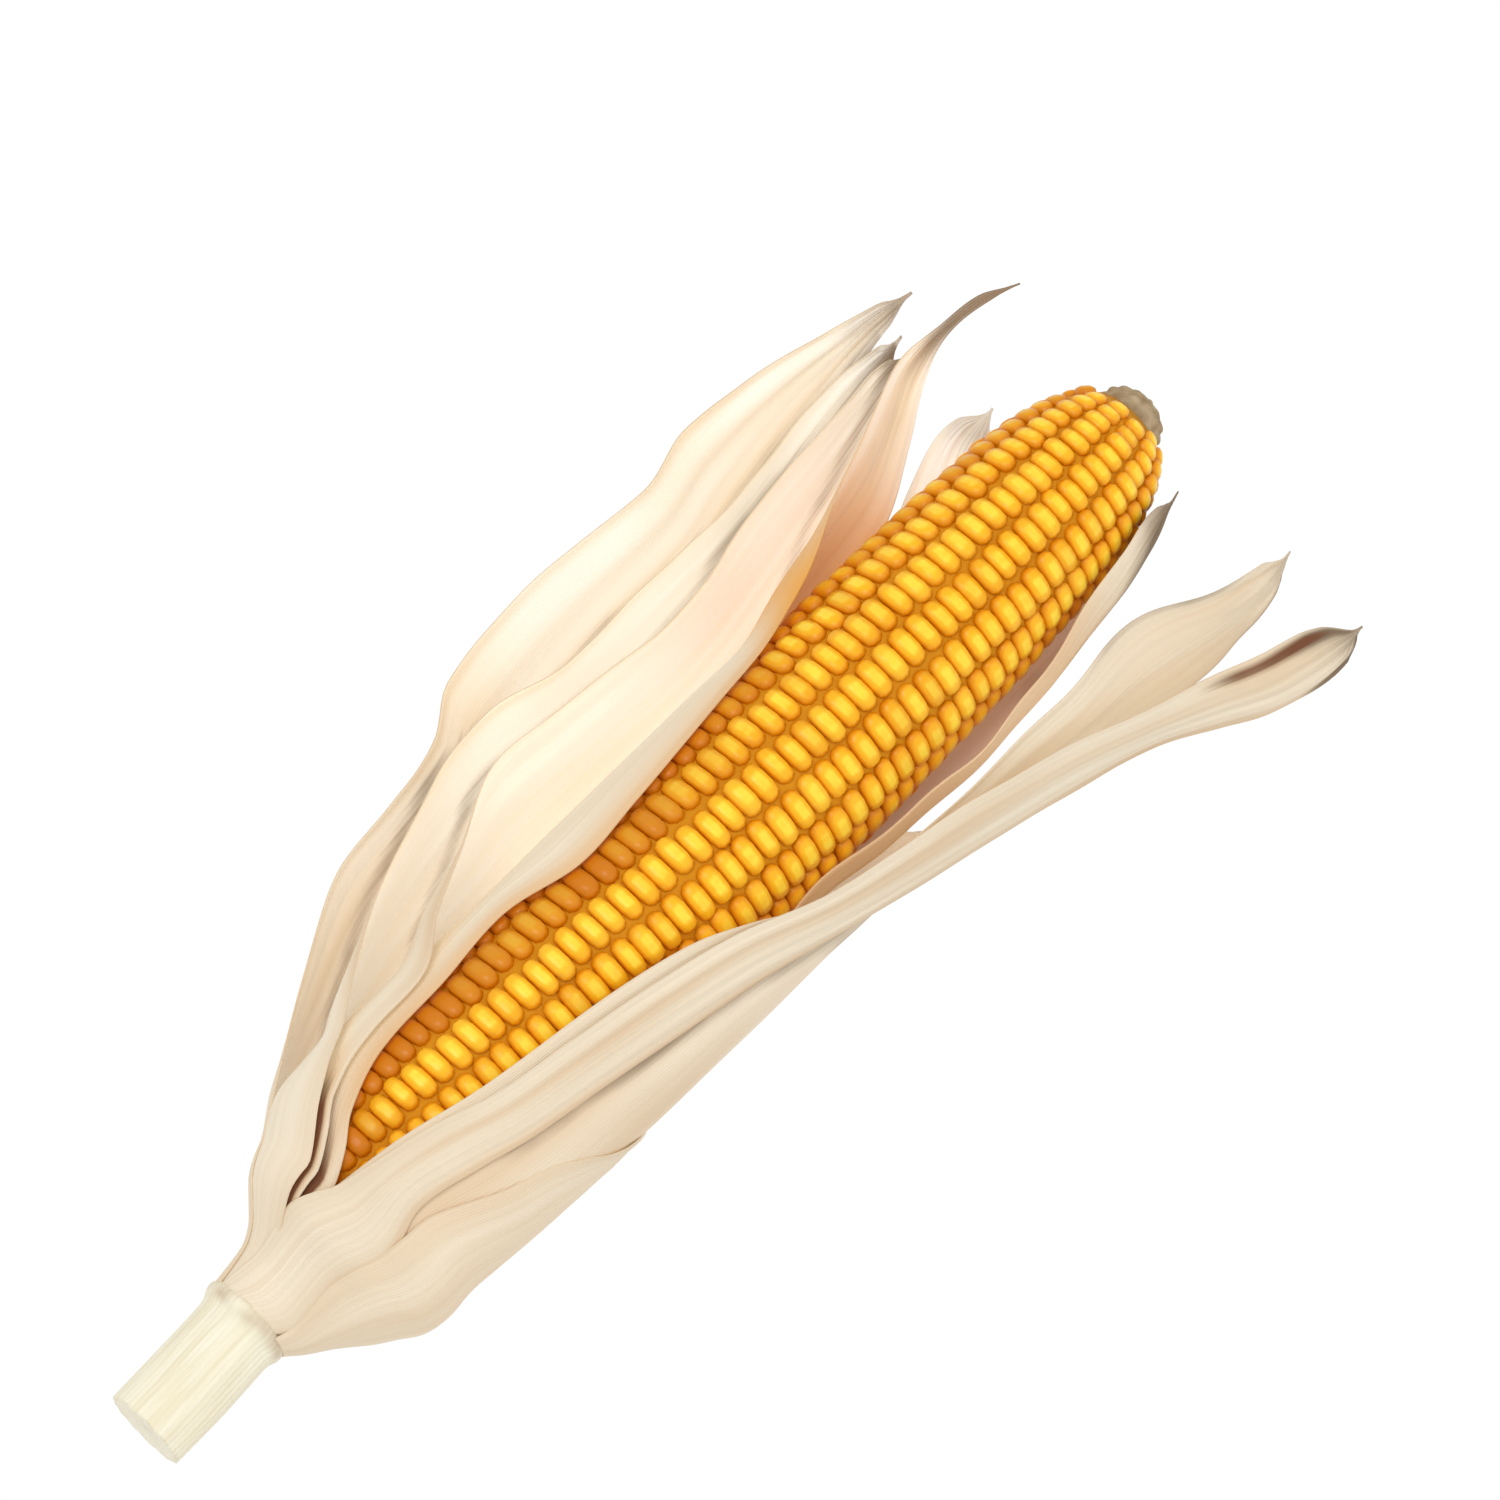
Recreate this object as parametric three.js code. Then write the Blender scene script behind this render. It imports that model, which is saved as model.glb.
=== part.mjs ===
// A dried ear of maize lying on its side, with its husk peeled back from the front.
//
// Units are millimetres and +Z is up. The ear runs along +X from its stalk to its bare tip, and it is
// modelled about its own axis (y = 0, z = 0), with +Y to the left of the ear as seen from the stalk.
// At the end the whole ear is moved so that the origin lies under the middle of its box, on the surface.
//
// The kernels are raised from the ear by a formula, in 14 rows that turn slowly about the cob.
// Each husk leaf is a thin curved blade: its cross-sections are arcs between two edges, which are
// given at a few stations along the ear, with folds and waves added by a formula.
import * as THREE from "three";

// ---- Driving dimensions -------------------------------------------------------------------------

const KERNEL_ROWS = 14;
const KERNEL_PITCH = 4.55; // along a row
const KERNEL_HEIGHT = 1.5; // from the groove between two kernels to their crown
const KERNEL_CROWN = 0.56; // share of a kernel's cell that its flat crown takes
const ROW_ANGLE = 110.3; // where one groove between two rows lies, in degrees from +Y towards +Z
const ROW_ANGLE_AT = 88; // and how far along the ear
const ROW_TURN = 0.136; // degrees that the rows turn for each millimetre along the ear
const EAR_BOW = 1.6; // the ear bends this far to the right and back over BOW_LENGTH
const BOW_LENGTH = 200;

const COB_FIT = 0.35; // gap between neighbouring pieces
const STALK_LENGTH = 44;
const STALK_SIDES = 12;
const RIB_DEPTH = 0.3; // of the ribs along the stalk
const CUP_DEPTH = 0.35; // of the empty cups at the cob's bare tip
const PROFILE_STEPS = 400; // fine steps by which the kernels are spread along the ear

const FLOOR = -23.6; // height of the surface, measured from the ear's axis
const LEAF = 0.7; // thickness of a husk leaf
const TIP_CROWDING = 0.07; // how much the steps of a leaf crowd towards its ends
const LOOSENING = 1.5; // power by which folds and waves grow towards a leaf's loose edge
const SLIM = 8; // a leaf whose edges are less than twice this apart has smaller folds and waves

// Radius of the ear over its kernels' crowns, along the ear.
const EAR_PROFILE = [
  [0, 9.6], [3, 12], [8, 14.8], [16, 17.8], [35, 20.1], [75, 21], [120, 21.3], [160, 21], [185, 20.3],
  [200, 19.4], [210, 18.5], [218, 17.3], [225, 15.6], [230, 13.3], [233, 11.3], [235, 9.6],
];
// Radius of the cob, which carries the kernels and stands out bare at the tip.
const COB_PROFILE = [[0.6, 6.6], [15, 10.2], [60, 11.8], [150, 11.8], [200, 10.2], [226, 8], [235.6, 7.3]];
const COB_TIP = [[236.6, 7.5], [237.8, 6.6], [239, 5.4], [240, 4], [240.8, 2.4]];
const COB_STATIONS = [0.6, 8, 20, 40, 75, 120, 165, 200, 215, 227, 235.6];
const BORE_ENDS = [0, 234.4]; // of the sleeve of kernels
// Middle of the stalk: it droops towards the surface behind the ear.
const STALK_LINE = [
  [-STALK_LENGTH, -3, -11.6], [-30, -3, -10], [-17, -2.7, -7.6], [-8, -1.8, -4.6], [-0.4, -0.6, -1.2],
];
// Radius of the stalk. The husk grows from the ring on it, and hides its slimmer end.
const STALK_PROFILE = [
  [-STALK_LENGTH, 8.6], [-32, 8.6], [-21, 8.6], [-18.4, 9.2], [-17, 9.7], [-15.8, 9], [-14.8, 5.2], [-8, 5.2],
  [-0.4, 5.2],
];

// ---- Curves -------------------------------------------------------------------------------------

const radians = THREE.MathUtils.degToRad;
const lerp = THREE.MathUtils.lerp;

// The ear's own axis bends a little sideways.
function axisY(x) {
  return x > 0 ? -EAR_BOW * Math.sin((Math.PI * x) / BOW_LENGTH) : 0;
}

// A smooth curve through stations [x, value, value, ...], as cubic pieces with shared slopes.
function smooth(stations, x) {
  const last = stations.length - 1;
  if (x <= stations[0][0]) return stations[0].slice(1);
  if (x >= stations[last][0]) return stations[last].slice(1);
  let i = 0;
  while (stations[i + 1][0] < x) i += 1;
  const width = stations[i + 1][0] - stations[i][0];
  const t = (x - stations[i][0]) / width;
  const slope = (at, k) => {
    const a = stations[Math.max(at - 1, 0)];
    const b = stations[Math.min(at + 1, last)];
    return ((b[k] - a[k]) / (b[0] - a[0])) * width;
  };
  return stations[i].slice(1).map((start, n) => {
    const k = n + 1;
    const end = stations[i + 1][k];
    const rise = (2 * t - 3) * t * t;
    const bend = (1 - t) ** 2 * t * slope(i, k) - (1 - t) * t * t * slope(i + 1, k);
    return (1 + rise) * start - rise * end + bend;
  });
}

// ---- Solids -------------------------------------------------------------------------------------

function geometryOf(points, triangles) {
  const geometry = new THREE.BufferGeometry().setFromPoints(points);
  geometry.setIndex(triangles.flat());
  geometry.computeVertexNormals();
  return geometry;
}

// A closed solid from rings of equally many points, each ring turning from +Y towards +Z, and its two ends
// closed by a point in the middle of the first and last ring.
function ringSolid(rings) {
  const count = rings[0].length;
  const middleOf = (ring) => ring.reduce((sum, p) => sum.add(p), new THREE.Vector3()).divideScalar(count);
  const points = [...rings.flat(), middleOf(rings[0]), middleOf(rings[rings.length - 1])];
  const first = points.length - 2;
  const triangles = [];
  for (let j = 0; j < count; j += 1) {
    const next = (j + 1) % count;
    for (let i = 0; i < rings.length - 1; i += 1) {
      const a = i * count;
      const b = a + count;
      triangles.push([a + j, a + next, b + next], [a + j, b + next, b + j]);
    }
    const end = (rings.length - 1) * count;
    triangles.push([first, next, j], [first + 1, end + j, end + next]);
  }
  return geometryOf(points, triangles);
}

// A closed blade of even thickness about a grid of points, grid[i][j], with the same diagonals on both faces.
// Its outer face looks along (step in i) x (step in j).
function bladeSolid(grid, thickness) {
  const rows = grid.length - 1;
  const columns = grid[0].length - 1;
  const along = new THREE.Vector3();
  const across = new THREE.Vector3();
  const points = [];
  for (const side of [0.5, -0.5]) {
    grid.forEach((line, i) => {
      line.forEach((p, j) => {
        along.subVectors(grid[Math.min(i + 1, rows)][j], grid[Math.max(i - 1, 0)][j]);
        across.subVectors(line[Math.min(j + 1, columns)], line[Math.max(j - 1, 0)]);
        const normal = along.clone().cross(across).normalize();
        const q = p.clone().addScaledVector(normal, side * thickness);
        q.z = Math.max(q.z, FLOOR);
        points.push(q);
      });
    });
  }
  const under = (rows + 1) * (columns + 1);
  const at = (i, j) => i * (columns + 1) + j;
  const triangles = [];
  for (let i = 0; i < rows; i += 1) {
    for (let j = 0; j < columns; j += 1) {
      const [a, b, c, d] = [at(i, j), at(i + 1, j), at(i + 1, j + 1), at(i, j + 1)];
      triangles.push([a, b, c], [a, c, d]);
      triangles.push([c + under, b + under, a + under], [d + under, c + under, a + under]);
    }
  }
  const rim = [];
  for (let i = 0; i < rows; i += 1) rim.push([at(i, 0), at(i + 1, 0)]);
  for (let j = 0; j < columns; j += 1) rim.push([at(rows, j), at(rows, j + 1)]);
  for (let i = rows; i > 0; i -= 1) rim.push([at(i, columns), at(i - 1, columns)]);
  for (let j = columns; j > 0; j -= 1) rim.push([at(0, j), at(0, j - 1)]);
  for (const [a, b] of rim) triangles.push([b, a, a + under], [b, a + under, b + under]);
  return geometryOf(points, triangles);
}

// ---- The ear ------------------------------------------------------------------------------------

function rowAngle(row, x) {
  return radians(ROW_ANGLE + (row * 360) / KERNEL_ROWS + ROW_TURN * (x - ROW_ANGLE_AT));
}

// Where a row's edge crosses a circle of this radius about the ear's axis.
function onEar(x, radius, row) {
  const angle = rowAngle(row, x);
  return new THREE.Vector3(x, axisY(x) + radius * Math.cos(angle), radius * Math.sin(angle));
}

// The ear's profile as a list of equal steps along its length, each with its outward direction.
function profileSteps() {
  const length = EAR_PROFILE[EAR_PROFILE.length - 1][0];
  const line = Array.from({ length: PROFILE_STEPS + 1 }, (_, i) => {
    const x = (i / PROFILE_STEPS) * length;
    return new THREE.Vector2(x, smooth(EAR_PROFILE, x)[0]);
  });
  const travelled = [0];
  for (let i = 1; i <= PROFILE_STEPS; i += 1) {
    travelled.push(travelled[i - 1] + line[i].distanceTo(line[i - 1]));
  }
  const total = travelled[PROFILE_STEPS];
  const count = Math.round(total / KERNEL_PITCH);
  const at = (step) => {
    const goal = THREE.MathUtils.clamp((step / count) * total, 0, total);
    let i = 1;
    while (i < PROFILE_STEPS && travelled[i] < goal) i += 1;
    const share = (goal - travelled[i - 1]) / (travelled[i] - travelled[i - 1]);
    const out = line[i].clone().sub(line[i - 1]).normalize();
    return { point: line[i - 1].clone().lerp(line[i], share), out: new THREE.Vector2(-out.y, out.x) };
  };
  return { count, at };
}

// The kernels as one sleeve on the cob. Each kernel is a block with a flat crown, and four blocks meet in one
// low point of the groove between them.
function kernels() {
  const { count, at } = profileSteps();
  const margin = (1 - KERNEL_CROWN) / 2;
  const points = [];
  const triangles = [];
  const add = (step, row, height) => {
    const { point, out } = at(step);
    return points.push(onEar(point.x + out.x * height, point.y + out.y * height, row)) - 1;
  };
  const quad = (a, b, c, d) => triangles.push([a, b, c], [a, c, d]);

  const low = [];
  for (let i = 0; i <= count; i += 1) {
    low.push(Array.from({ length: KERNEL_ROWS }, (_, j) => add(i, j, -KERNEL_HEIGHT)));
  }
  for (let i = 0; i < count; i += 1) {
    for (let j = 0; j < KERNEL_ROWS; j += 1) {
      const [near, far] = [i + margin, i + 1 - margin];
      const [right, left] = [j + margin, j + 1 - margin];
      const crown = [add(near, right, 0), add(near, left, 0), add(far, left, 0), add(far, right, 0)];
      const next = (j + 1) % KERNEL_ROWS;
      const foot = [low[i][j], low[i][next], low[i + 1][next], low[i + 1][j]];
      quad(...crown);
      for (let k = 0; k < 4; k += 1) {
        const turn = (k + 1) % 4;
        quad(foot[k], foot[turn], crown[turn], crown[k]);
      }
    }
  }

  const bore = [BORE_ENDS[0], ...COB_STATIONS.slice(1, -1), BORE_ENDS[1]].map((x) => {
    const radius = smooth(COB_PROFILE, x)[0] + COB_FIT;
    return Array.from({ length: KERNEL_ROWS }, (_, j) => points.push(onEar(x, radius, j)) - 1);
  });
  for (let j = 0; j < KERNEL_ROWS; j += 1) {
    const next = (j + 1) % KERNEL_ROWS;
    const last = bore.length - 1;
    for (let i = 0; i < last; i += 1) {
      quad(bore[i][next], bore[i][j], bore[i + 1][j], bore[i + 1][next]);
    }
    quad(bore[0][j], bore[0][next], low[0][next], low[0][j]);
    quad(low[count][j], low[count][next], bore[last][next], bore[last][j]);
  }
  return geometryOf(points, triangles);
}

// The cob: a plain core under the kernels, and at its bare tip small empty cups in every second place.
function cob() {
  const ring = (x, radius, cup = 0) =>
    Array.from({ length: KERNEL_ROWS }, (_, j) => onEar(x, radius + (j % 2 ? cup : -cup), j));
  const core = COB_STATIONS.map((x) => ring(x, smooth(COB_PROFILE, x)[0]));
  const tip = COB_TIP.map(([x, radius], i) => ring(x, radius, i % 2 ? -CUP_DEPTH : CUP_DEPTH));
  return ringSolid([...core, ...tip]);
}

// The stalk: shallow ribs along it, and a swollen ring where the husk grows from it.
function stalk() {
  const rings = STALK_PROFILE.map(([x, radius]) => {
    const [y, z] = smooth(STALK_LINE, x);
    return Array.from({ length: STALK_SIDES }, (_, j) => {
      const angle = (2 * Math.PI * j) / STALK_SIDES;
      const r = radius - (j % 2 ? RIB_DEPTH : 0);
      return new THREE.Vector3(x, y + r * Math.cos(angle), z + r * Math.sin(angle));
    });
  });
  return ringSolid(rings);
}

// ---- Husk leaves --------------------------------------------------------------------------------

// A station of a leaf is [x, y1, z1, y2, z2, bulge]: the leaf's two edges in that cross-section, going
// clockwise about the ear as seen from the tip, and how far the arc between them bulges away from the ear, as
// a share of half the distance between the edges.
function arc(x, radius, from, to, y = axisY(x), z = 0) {
  const [a, b] = [radians(from), radians(to)];
  const edge = (angle) => [y + radius * Math.cos(angle), z + radius * Math.sin(angle)];
  return [x, ...edge(a), ...edge(b), Math.tan((a - b) / 4)];
}

// The point [y, z] at this distance over another leaf, at its place t from -1 to 1 across it.
function spotOver(stations, x, gap, t) {
  const [y1, z1, y2, z2, bulge] = smooth(stations, x);
  const half = Math.hypot(y2 - y1, z2 - z1) / 2;
  const [dy, dz] = [(y2 - y1) / (2 * half), (z2 - z1) / (2 * half)];
  const bend = 2 * Math.atan(bulge);
  const radius = half / Math.sin(bend);
  const out = (radius + gap) * Math.cos(t * bend) - radius * Math.cos(bend);
  const side = (radius + gap) * Math.sin(t * bend);
  return [(y1 + y2) / 2 + dy * side - dz * out, (z1 + z2) / 2 + dz * side + dy * out];
}

// A station that lies over another leaf, at this distance from it, between two of its places across it.
function over(stations, x, gap, from, to) {
  const bend = 2 * Math.atan(smooth(stations, x)[4]);
  const [first, second] = [spotOver(stations, x, gap, from), spotOver(stations, x, gap, to)];
  return [x, ...first, ...second, Math.tan(((to - from) * bend) / 4)];
}

// At the foot of the ear the leaves wrap the stalk in layers. Each line holds a place along it, the middle of
// the bundle [y, z], the radius of the innermost layer, and the step from one layer to the next.
const SHEATH = [
  [-17, -2.7, -7.6, 5.9, 1], [-8, -1.8, -4.6, 6, 1.15], [-5, -1.3, -3.2, 6.6, 1.4],
  [-3, -0.9, -2.2, 7.7, 1.5], [-1, -0.4, -1.1, 9.8, 1.6], [1, 0, -0.3, 11.9, 1.55], [4.5, 0, 0, 14.3, 1.35],
  [8, 0, 0, 15.9, 1.25],
];
const ROOT_AT = -14.5; // where the leaves leave the ring
const FOOT_STATIONS = 8;

function wrap(x, layer, from, to) {
  const [y, z, radius, step] = smooth(SHEATH, x);
  return arc(x, radius + (layer - 1) * step, from, to, y, z);
}

// The stations of a leaf's foot, from the ring to the butt of the ear.
function foot(layer, from, to) {
  return Array.from({ length: FOOT_STATIONS }, (_, i) => {
    const share = i / (FOOT_STATIONS - 1);
    const x = lerp(ROOT_AT, SHEATH[SHEATH.length - 1][0], share);
    return wrap(x, layer, lerp(from[0], from[1], share), lerp(to[0], to[1], share));
  });
}

// The slack leaf in front, which the short leaf at the foot lies over.
const FRONT = [
  wrap(ROOT_AT, 3, -124, -214), [-8, -6.5, -18.6, -8.7, -0.3, 0.98], [-3, -8.5, -21, -10.2, 3.8, 0.98],
  [1, -10, -22.4, -13.1, 8, 0.9], [5, -11.4, -23, -13.7, 9.2, 0.9], [10, -12, -23.2, -14.2, 13.2, 0.85],
  [16, -13, -23, -13.8, 16.6, 0.78], [30, -12, -23.3, -17.5, 17.3, 0.76], [50, -12.5, -23.3, -20.2, 16, 0.74],
  [75, -13, -23.3, -23, 14, 0.71], [95, -13.5, -23.3, -25.2, 10.8, 0.68], [115, -14, -23.3, -29.2, 3, 0.6],
  [128, -15, -23.3, -30.8, -2, 0.5], [140, -18, -23.3, -31.5, -10, 0.3], [150, -22, -23.2, -29, -19.5, 0.1],
];

// A station from a place over the front leaf up to an angle on this layer of the sheath.
function drape(x, gap, t, layer, to, bulge) {
  const [y, z, radius, step] = smooth(SHEATH, x);
  const reach = radius + (layer - 1) * step;
  const second = [y + reach * Math.cos(radians(to)), z + reach * Math.sin(radians(to))];
  return [x, ...spotOver(FRONT, x, gap, t), ...second, bulge];
}

// Each leaf: its stations, how many steps its blade takes along and across, which edge is the loose one
// (-1 the first, 1 the second), the depth and number of its lengthwise folds, the height, length and phase of
// the waves along its loose edge, and where along the ear the leaf comes free.
const LEAVES = {
  // Lies against the left flank, and swings out to a withered tip that turns back towards the ear.
  husk_left_inner: {
    stations: [
      ...foot(1, [100, 102], [-40, -35]),
      arc(14, 18.5, 91, -34), arc(20, 19.7, 78, -34), arc(32, 21, 65, -34), arc(50, 21.8, 61, -35),
      arc(68, 22.4, 56, -36), arc(84, 22.7, 68, -36), arc(100, 22.8, 64, -36), arc(128, 22.9, 54, -36),
      arc(144, 22.9, 47, -34), [160, 19.5, 14.5, 20, -13, 0.45], [176, 26.5, 12.5, 22, -13, 0.3],
      [190, 33, 11, 24.5, -11.5, 0.22], [205, 38.5, 9.5, 32, -8.5, 0.22], [215, 41, 7, 37.5, -3, 0.3],
      [224, 41.5, 4.5, 40, 0.8, 0.3], [234, 40.5, 4.4, 39.4, 1.8, 0.2], [242, 36.5, 5.5, 35.6, 3.8, 0.2],
    ],
    steps: [30, 7], loose: -1, folds: [0.25, 2], waves: [0.5, 34, 0.4], free: [140, 190],
  },
  // The next leaf out: it stands off from the ear at its foot, and its inner side faces up beside the ear.
  husk_left_fold: {
    stations: [
      ...foot(2, [86, 82], [-58, -58]),
      arc(14, 19.9, 75, -54), arc(20, 21.2, 64, -52), arc(27, 22.1, 58, -50), arc(35, 22.7, 54, -48),
      arc(50, 23.5, 50, -46), [61, 22, 14.5, 17.6, -20, 0.42], [76, 29.5, 11.5, 18, -21.4, 0.36],
      [89, 36, 9, 18, -21.7, 0.34], [101, 38, 7.6, 18, -21.7, 0.34], [134, 35.2, 4.5, 19.5, -21.6, 0.36],
      [160, 39, 3, 23, -20.5, 0.34], [185, 42.5, 4, 28.5, -16.5, 0.3], [205, 44, 3, 36, -10, 0.25],
      [218, 44.5, 0, 42.8, -3, 0.2],
    ],
    steps: [26, 7], loose: -1, folds: [0.6, 2], waves: [0.8, 42, 1.3], free: [50, 100],
  },
  husk_left_middle: {
    stations: [
      ...foot(3, [80, 73], [-76, -70]),
      arc(16, 22.2, 61, -64), arc(24, 23.2, 51, -58), arc(30, 24.1, 40, -54),
      [36, 21.6, 13.6, 17.4, -21, 0.42], [47, 29.4, 9.4, 19.6, -22.2, 0.36], [60, 36.8, 7, 21, -23, 0.33],
      [80, 44.4, 4.5, 22.5, -23.1, 0.3], [100, 48, 3, 23, -23.2, 0.28], [120, 45.5, 1, 24, -23.2, 0.28],
      [150, 46, 0, 28, -22.6, 0.26], [180, 48, -1, 34, -20, 0.24], [205, 50, 0, 42.5, -12, 0.2],
      [220, 48.8, -1.5, 47.2, -4.5, 0.2],
    ],
    steps: [26, 7], loose: -1, folds: [0.7, 2], waves: [1, 50, 2.6], free: [40, 90],
  },
  husk_left_outer: {
    stations: [
      ...foot(4, [40, 20], [-92, -78]),
      [18, 23.4, 4, 13.5, -23.2, 0.42], [36, 35.4, -1, 21.5, -23.3, 0.28], [58, 48, -5, 27, -23.3, 0.24],
      [75, 51.5, -6, 29, -23.3, 0.24], [92, 55, -6.5, 30, -23.3, 0.22], [103, 62, -7, 31, -23.3, 0.2],
      [128, 66, -8, 35, -23.3, 0.18], [160, 64, -8, 40, -23.3, 0.16], [176, 67.5, -8, 44, -22.6, 0.16],
      [200, 64, -7, 51, -19.5, 0.15], [218, 59, -5, 54, -12, 0.15], [230, 55, -4, 53.6, -6.5, 0.1],
    ],
    steps: [26, 8], loose: -1, folds: [0.7, 3], waves: [1.2, 46, 0.2], free: [30, 90],
  },
  // Pressed flat between the ear and the surface: the ear lies on it.
  husk_under: {
    stations: [
      ...foot(2, [-70, -76], [-128, -122]),
      arc(20, 21.5, -62, -120), arc(40, 23.8, -58, -117), arc(52, 24, -54, -115), arc(75, 24.2, -38, -113),
      arc(120, 24.2, -34, -112),
      arc(150, 24.2, -40, -111), [168, 17, -19.5, -8, -23.2, 0.22], [185, 22, -19.5, -4, -23.3, 0.14],
      [202, 29, -19, 7, -23.3, 0.14], [216, 33, -18.6, 20, -22.8, 0.14], [228, 31, -20, 28, -21.4, 0.1],
    ],
    steps: [24, 6], loose: -1, folds: [0, 1], waves: [0.4, 30, 0], free: [190, 215],
  },
  // Lies along the right flank, with its tip beside the end of the ear.
  husk_right_inner: {
    stations: [
      ...foot(1, [-150, -112], [-228, -205]),
      arc(20, 19.8, -111, -197), arc(60, 22.2, -112, -187), arc(100, 22.9, -112, -184),
      [118, -10, -21.3, -23, 3, 0.38], [135, -10.2, -21.4, -25, 1.5, 0.42],
      [148, -10.2, -21.3, -25.8, 1.5, 0.44], [162, -10.4, -21.1, -26.4, 0.5, 0.45],
      [175, -10.6, -20.6, -25.4, 0.8, 0.46], [187, -11, -19.8, -23.3, 1.5, 0.5],
      [204, -12.6, -16.6, -20.6, 5.4, 0.5], [216, -14, -12.4, -18.4, 5.4, 0.5],
      [224, -15.4, -6.6, -17.4, 2.8, 0.45], [230.5, -16.2, -2.2, -16.6, 0.2, 0.3],
    ],
    steps: [28, 6], loose: 1, folds: [0.2, 2], waves: [0.3, 26, 0.9], free: [110, 150],
  },
  // Its upper edge is the rim beside the kernels, and its free end stands out to the right.
  husk_right_middle: {
    stations: [
      ...foot(2, [-165, -156], [-268, -258]),
      arc(22, 21.4, -156, -253), arc(40, 22.8, -155, -244), arc(70, 24, -153, -235),
      arc(88, 24.5, -152, -225.5), arc(100, 24.9, -150, -212), arc(109, 25.6, -150, -199),
      arc(124, 27.4, -150, -186), [142, -28.8, -13, -29.8, 0, 0.2], [160, -31.4, -18, -30, -1.5, 0.24],
      [180, -35.2, -20.5, -29.8, -2, 0.26], [197, -39.5, -20.5, -28.4, -2.5, 0.26],
      [207, -42, -20, -29.6, -3.4, 0.25], [220, -42.5, -18.5, -34.8, -6, 0.22],
      [232, -42, -16.5, -37.5, -8, 0.2], [240, -39.8, -12.2, -38.4, -9.5, 0.1],
    ],
    steps: [30, 7], loose: 1, folds: [0.3, 2], waves: [0.5, 36, 0.6], free: [130, 190],
  },
  // Outermost on the right: at its foot it drapes from the front leaf up over the left leaves, and beyond the
  // front leaf its free end runs on along the surface.
  husk_right_outer: {
    stations: [
      wrap(ROOT_AT, 4, -219, -318), drape(-8, 1.2, 0.73, 4, 59, 0.37), drape(-3, 1.2, 0.79, 4.1, 73, 0.26),
      drape(1, 1.2, 0.81, 4.1, 83, 0.22), drape(5, 1.2, 0.81, 4, 94, 0.19), drape(8, 1.2, 0.82, 4, 102, 0.13),
      [16, -18.1, 16.5, -6.6, 21.8, 0.16], [28, -20.7, 17.1, -9.6, 22.6, 0.15],
      [40, -23.4, 15.7, -13.6, 22, 0.15], [56, -25.6, 13.9, -16.4, 20.9, 0.15],
      [75, -28.2, 11.1, -19.2, 18.9, 0.16], [95, -30.6, 7, -22.9, 15.6, 0.17],
      [115, -33.2, 1, -28, 9.5, 0.2], [134, -36, -4.5, -31, 6.5, 0.22], [152, -38.2, -9.7, -33.4, 3, 0.22],
      [172, -42, -13, -37.2, -2, 0.22], [191, -46, -17, -42.2, -6, 0.24],
      [205, -52, -20.6, -46.5, -7.5, 0.28], [215, -57.2, -21.8, -49.6, -8.3, 0.34],
      [227, -60.4, -22, -52.2, -10.8, 0.38], [235, -61, -20.3, -55.6, -14, 0.3],
      [240, -59.8, -18.6, -58, -16.4, 0.1],
    ],
    steps: [30, 6], loose: 1, folds: [0.2, 2], waves: [0.6, 32, 1.9], free: [120, 200],
  },
  // The slack leaf that lies on the surface in front, tucked under the one above.
  husk_front: {
    stations: FRONT,
    steps: [22, 9], loose: 1, folds: [0.2, 3], waves: [0.2, 30, 0], free: [20, 60],
  },
  // A short outer leaf that lies over the foot of the one in front.
  husk_foot: {
    stations: [
      wrap(ROOT_AT, 5, -116, -212), over(FRONT, -8, 3.4, -0.64, 0.83), over(FRONT, -3, 3.3, -0.64, 0.86),
      over(FRONT, 1, 3.1, -0.64, 0.87), over(FRONT, 5, 3, -0.64, 0.86), over(FRONT, 10, 2.5, -0.7, 0.83),
      over(FRONT, 16, 1.5, -0.75, 0.77), over(FRONT, 23, 1.3, -0.76, 0.72), over(FRONT, 30, 1.3, -0.76, 0.66),
      over(FRONT, 39, 1.3, -0.74, 0.58), over(FRONT, 46, 1.2, -0.7, 0.44), over(FRONT, 52, 1.2, -0.62, 0.24),
      over(FRONT, 59, 1.2, -0.5, 0), over(FRONT, 64, 1.2, -0.4, -0.22),
    ],
    steps: [14, 6], loose: 1, folds: [0, 1], waves: [0, 24, 0], free: [0, 30],
  },
};

// A point of a leaf: t runs from -1 at its first edge to 1 at its second.
function leafPoint({ stations, loose, folds, waves, free }, x, t) {
  const [y1, z1, y2, z2, bulge] = smooth(stations, x);
  const half = Math.hypot(y2 - y1, z2 - z1) / 2;
  const [dy, dz] = [(y2 - y1) / (2 * half), (z2 - z1) / (2 * half)];
  const bend = 2 * Math.atan(bulge);
  const across = (half * Math.sin(t * bend)) / Math.sin(bend);
  const arcDepth = (half * (Math.cos(t * bend) - Math.cos(bend))) / Math.sin(bend);
  const freedom = THREE.MathUtils.smoothstep(x, ...free);
  const taper = Math.min(1, half / SLIM);
  const looseness = ((1 + loose * t) / 2) ** LOOSENING;
  const fold = folds[0] * Math.sin(Math.PI * folds[1] * (t + 1));
  const wave = waves[0] * Math.sin((2 * Math.PI * x) / waves[1] + waves[2]);
  const out = arcDepth + freedom * taper * looseness * (fold + wave);
  const z = (z1 + z2) / 2 + dz * across + dy * out;
  return new THREE.Vector3(x, (y1 + y2) / 2 + dy * across - dz * out, Math.max(z, FLOOR + LEAF / 2));
}

// All leaves share these places along their feet, so that their layers stay apart there.
const FOOT_STEPS = [-8, -5, -2, 1, 4.5, 8, 12];

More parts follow.
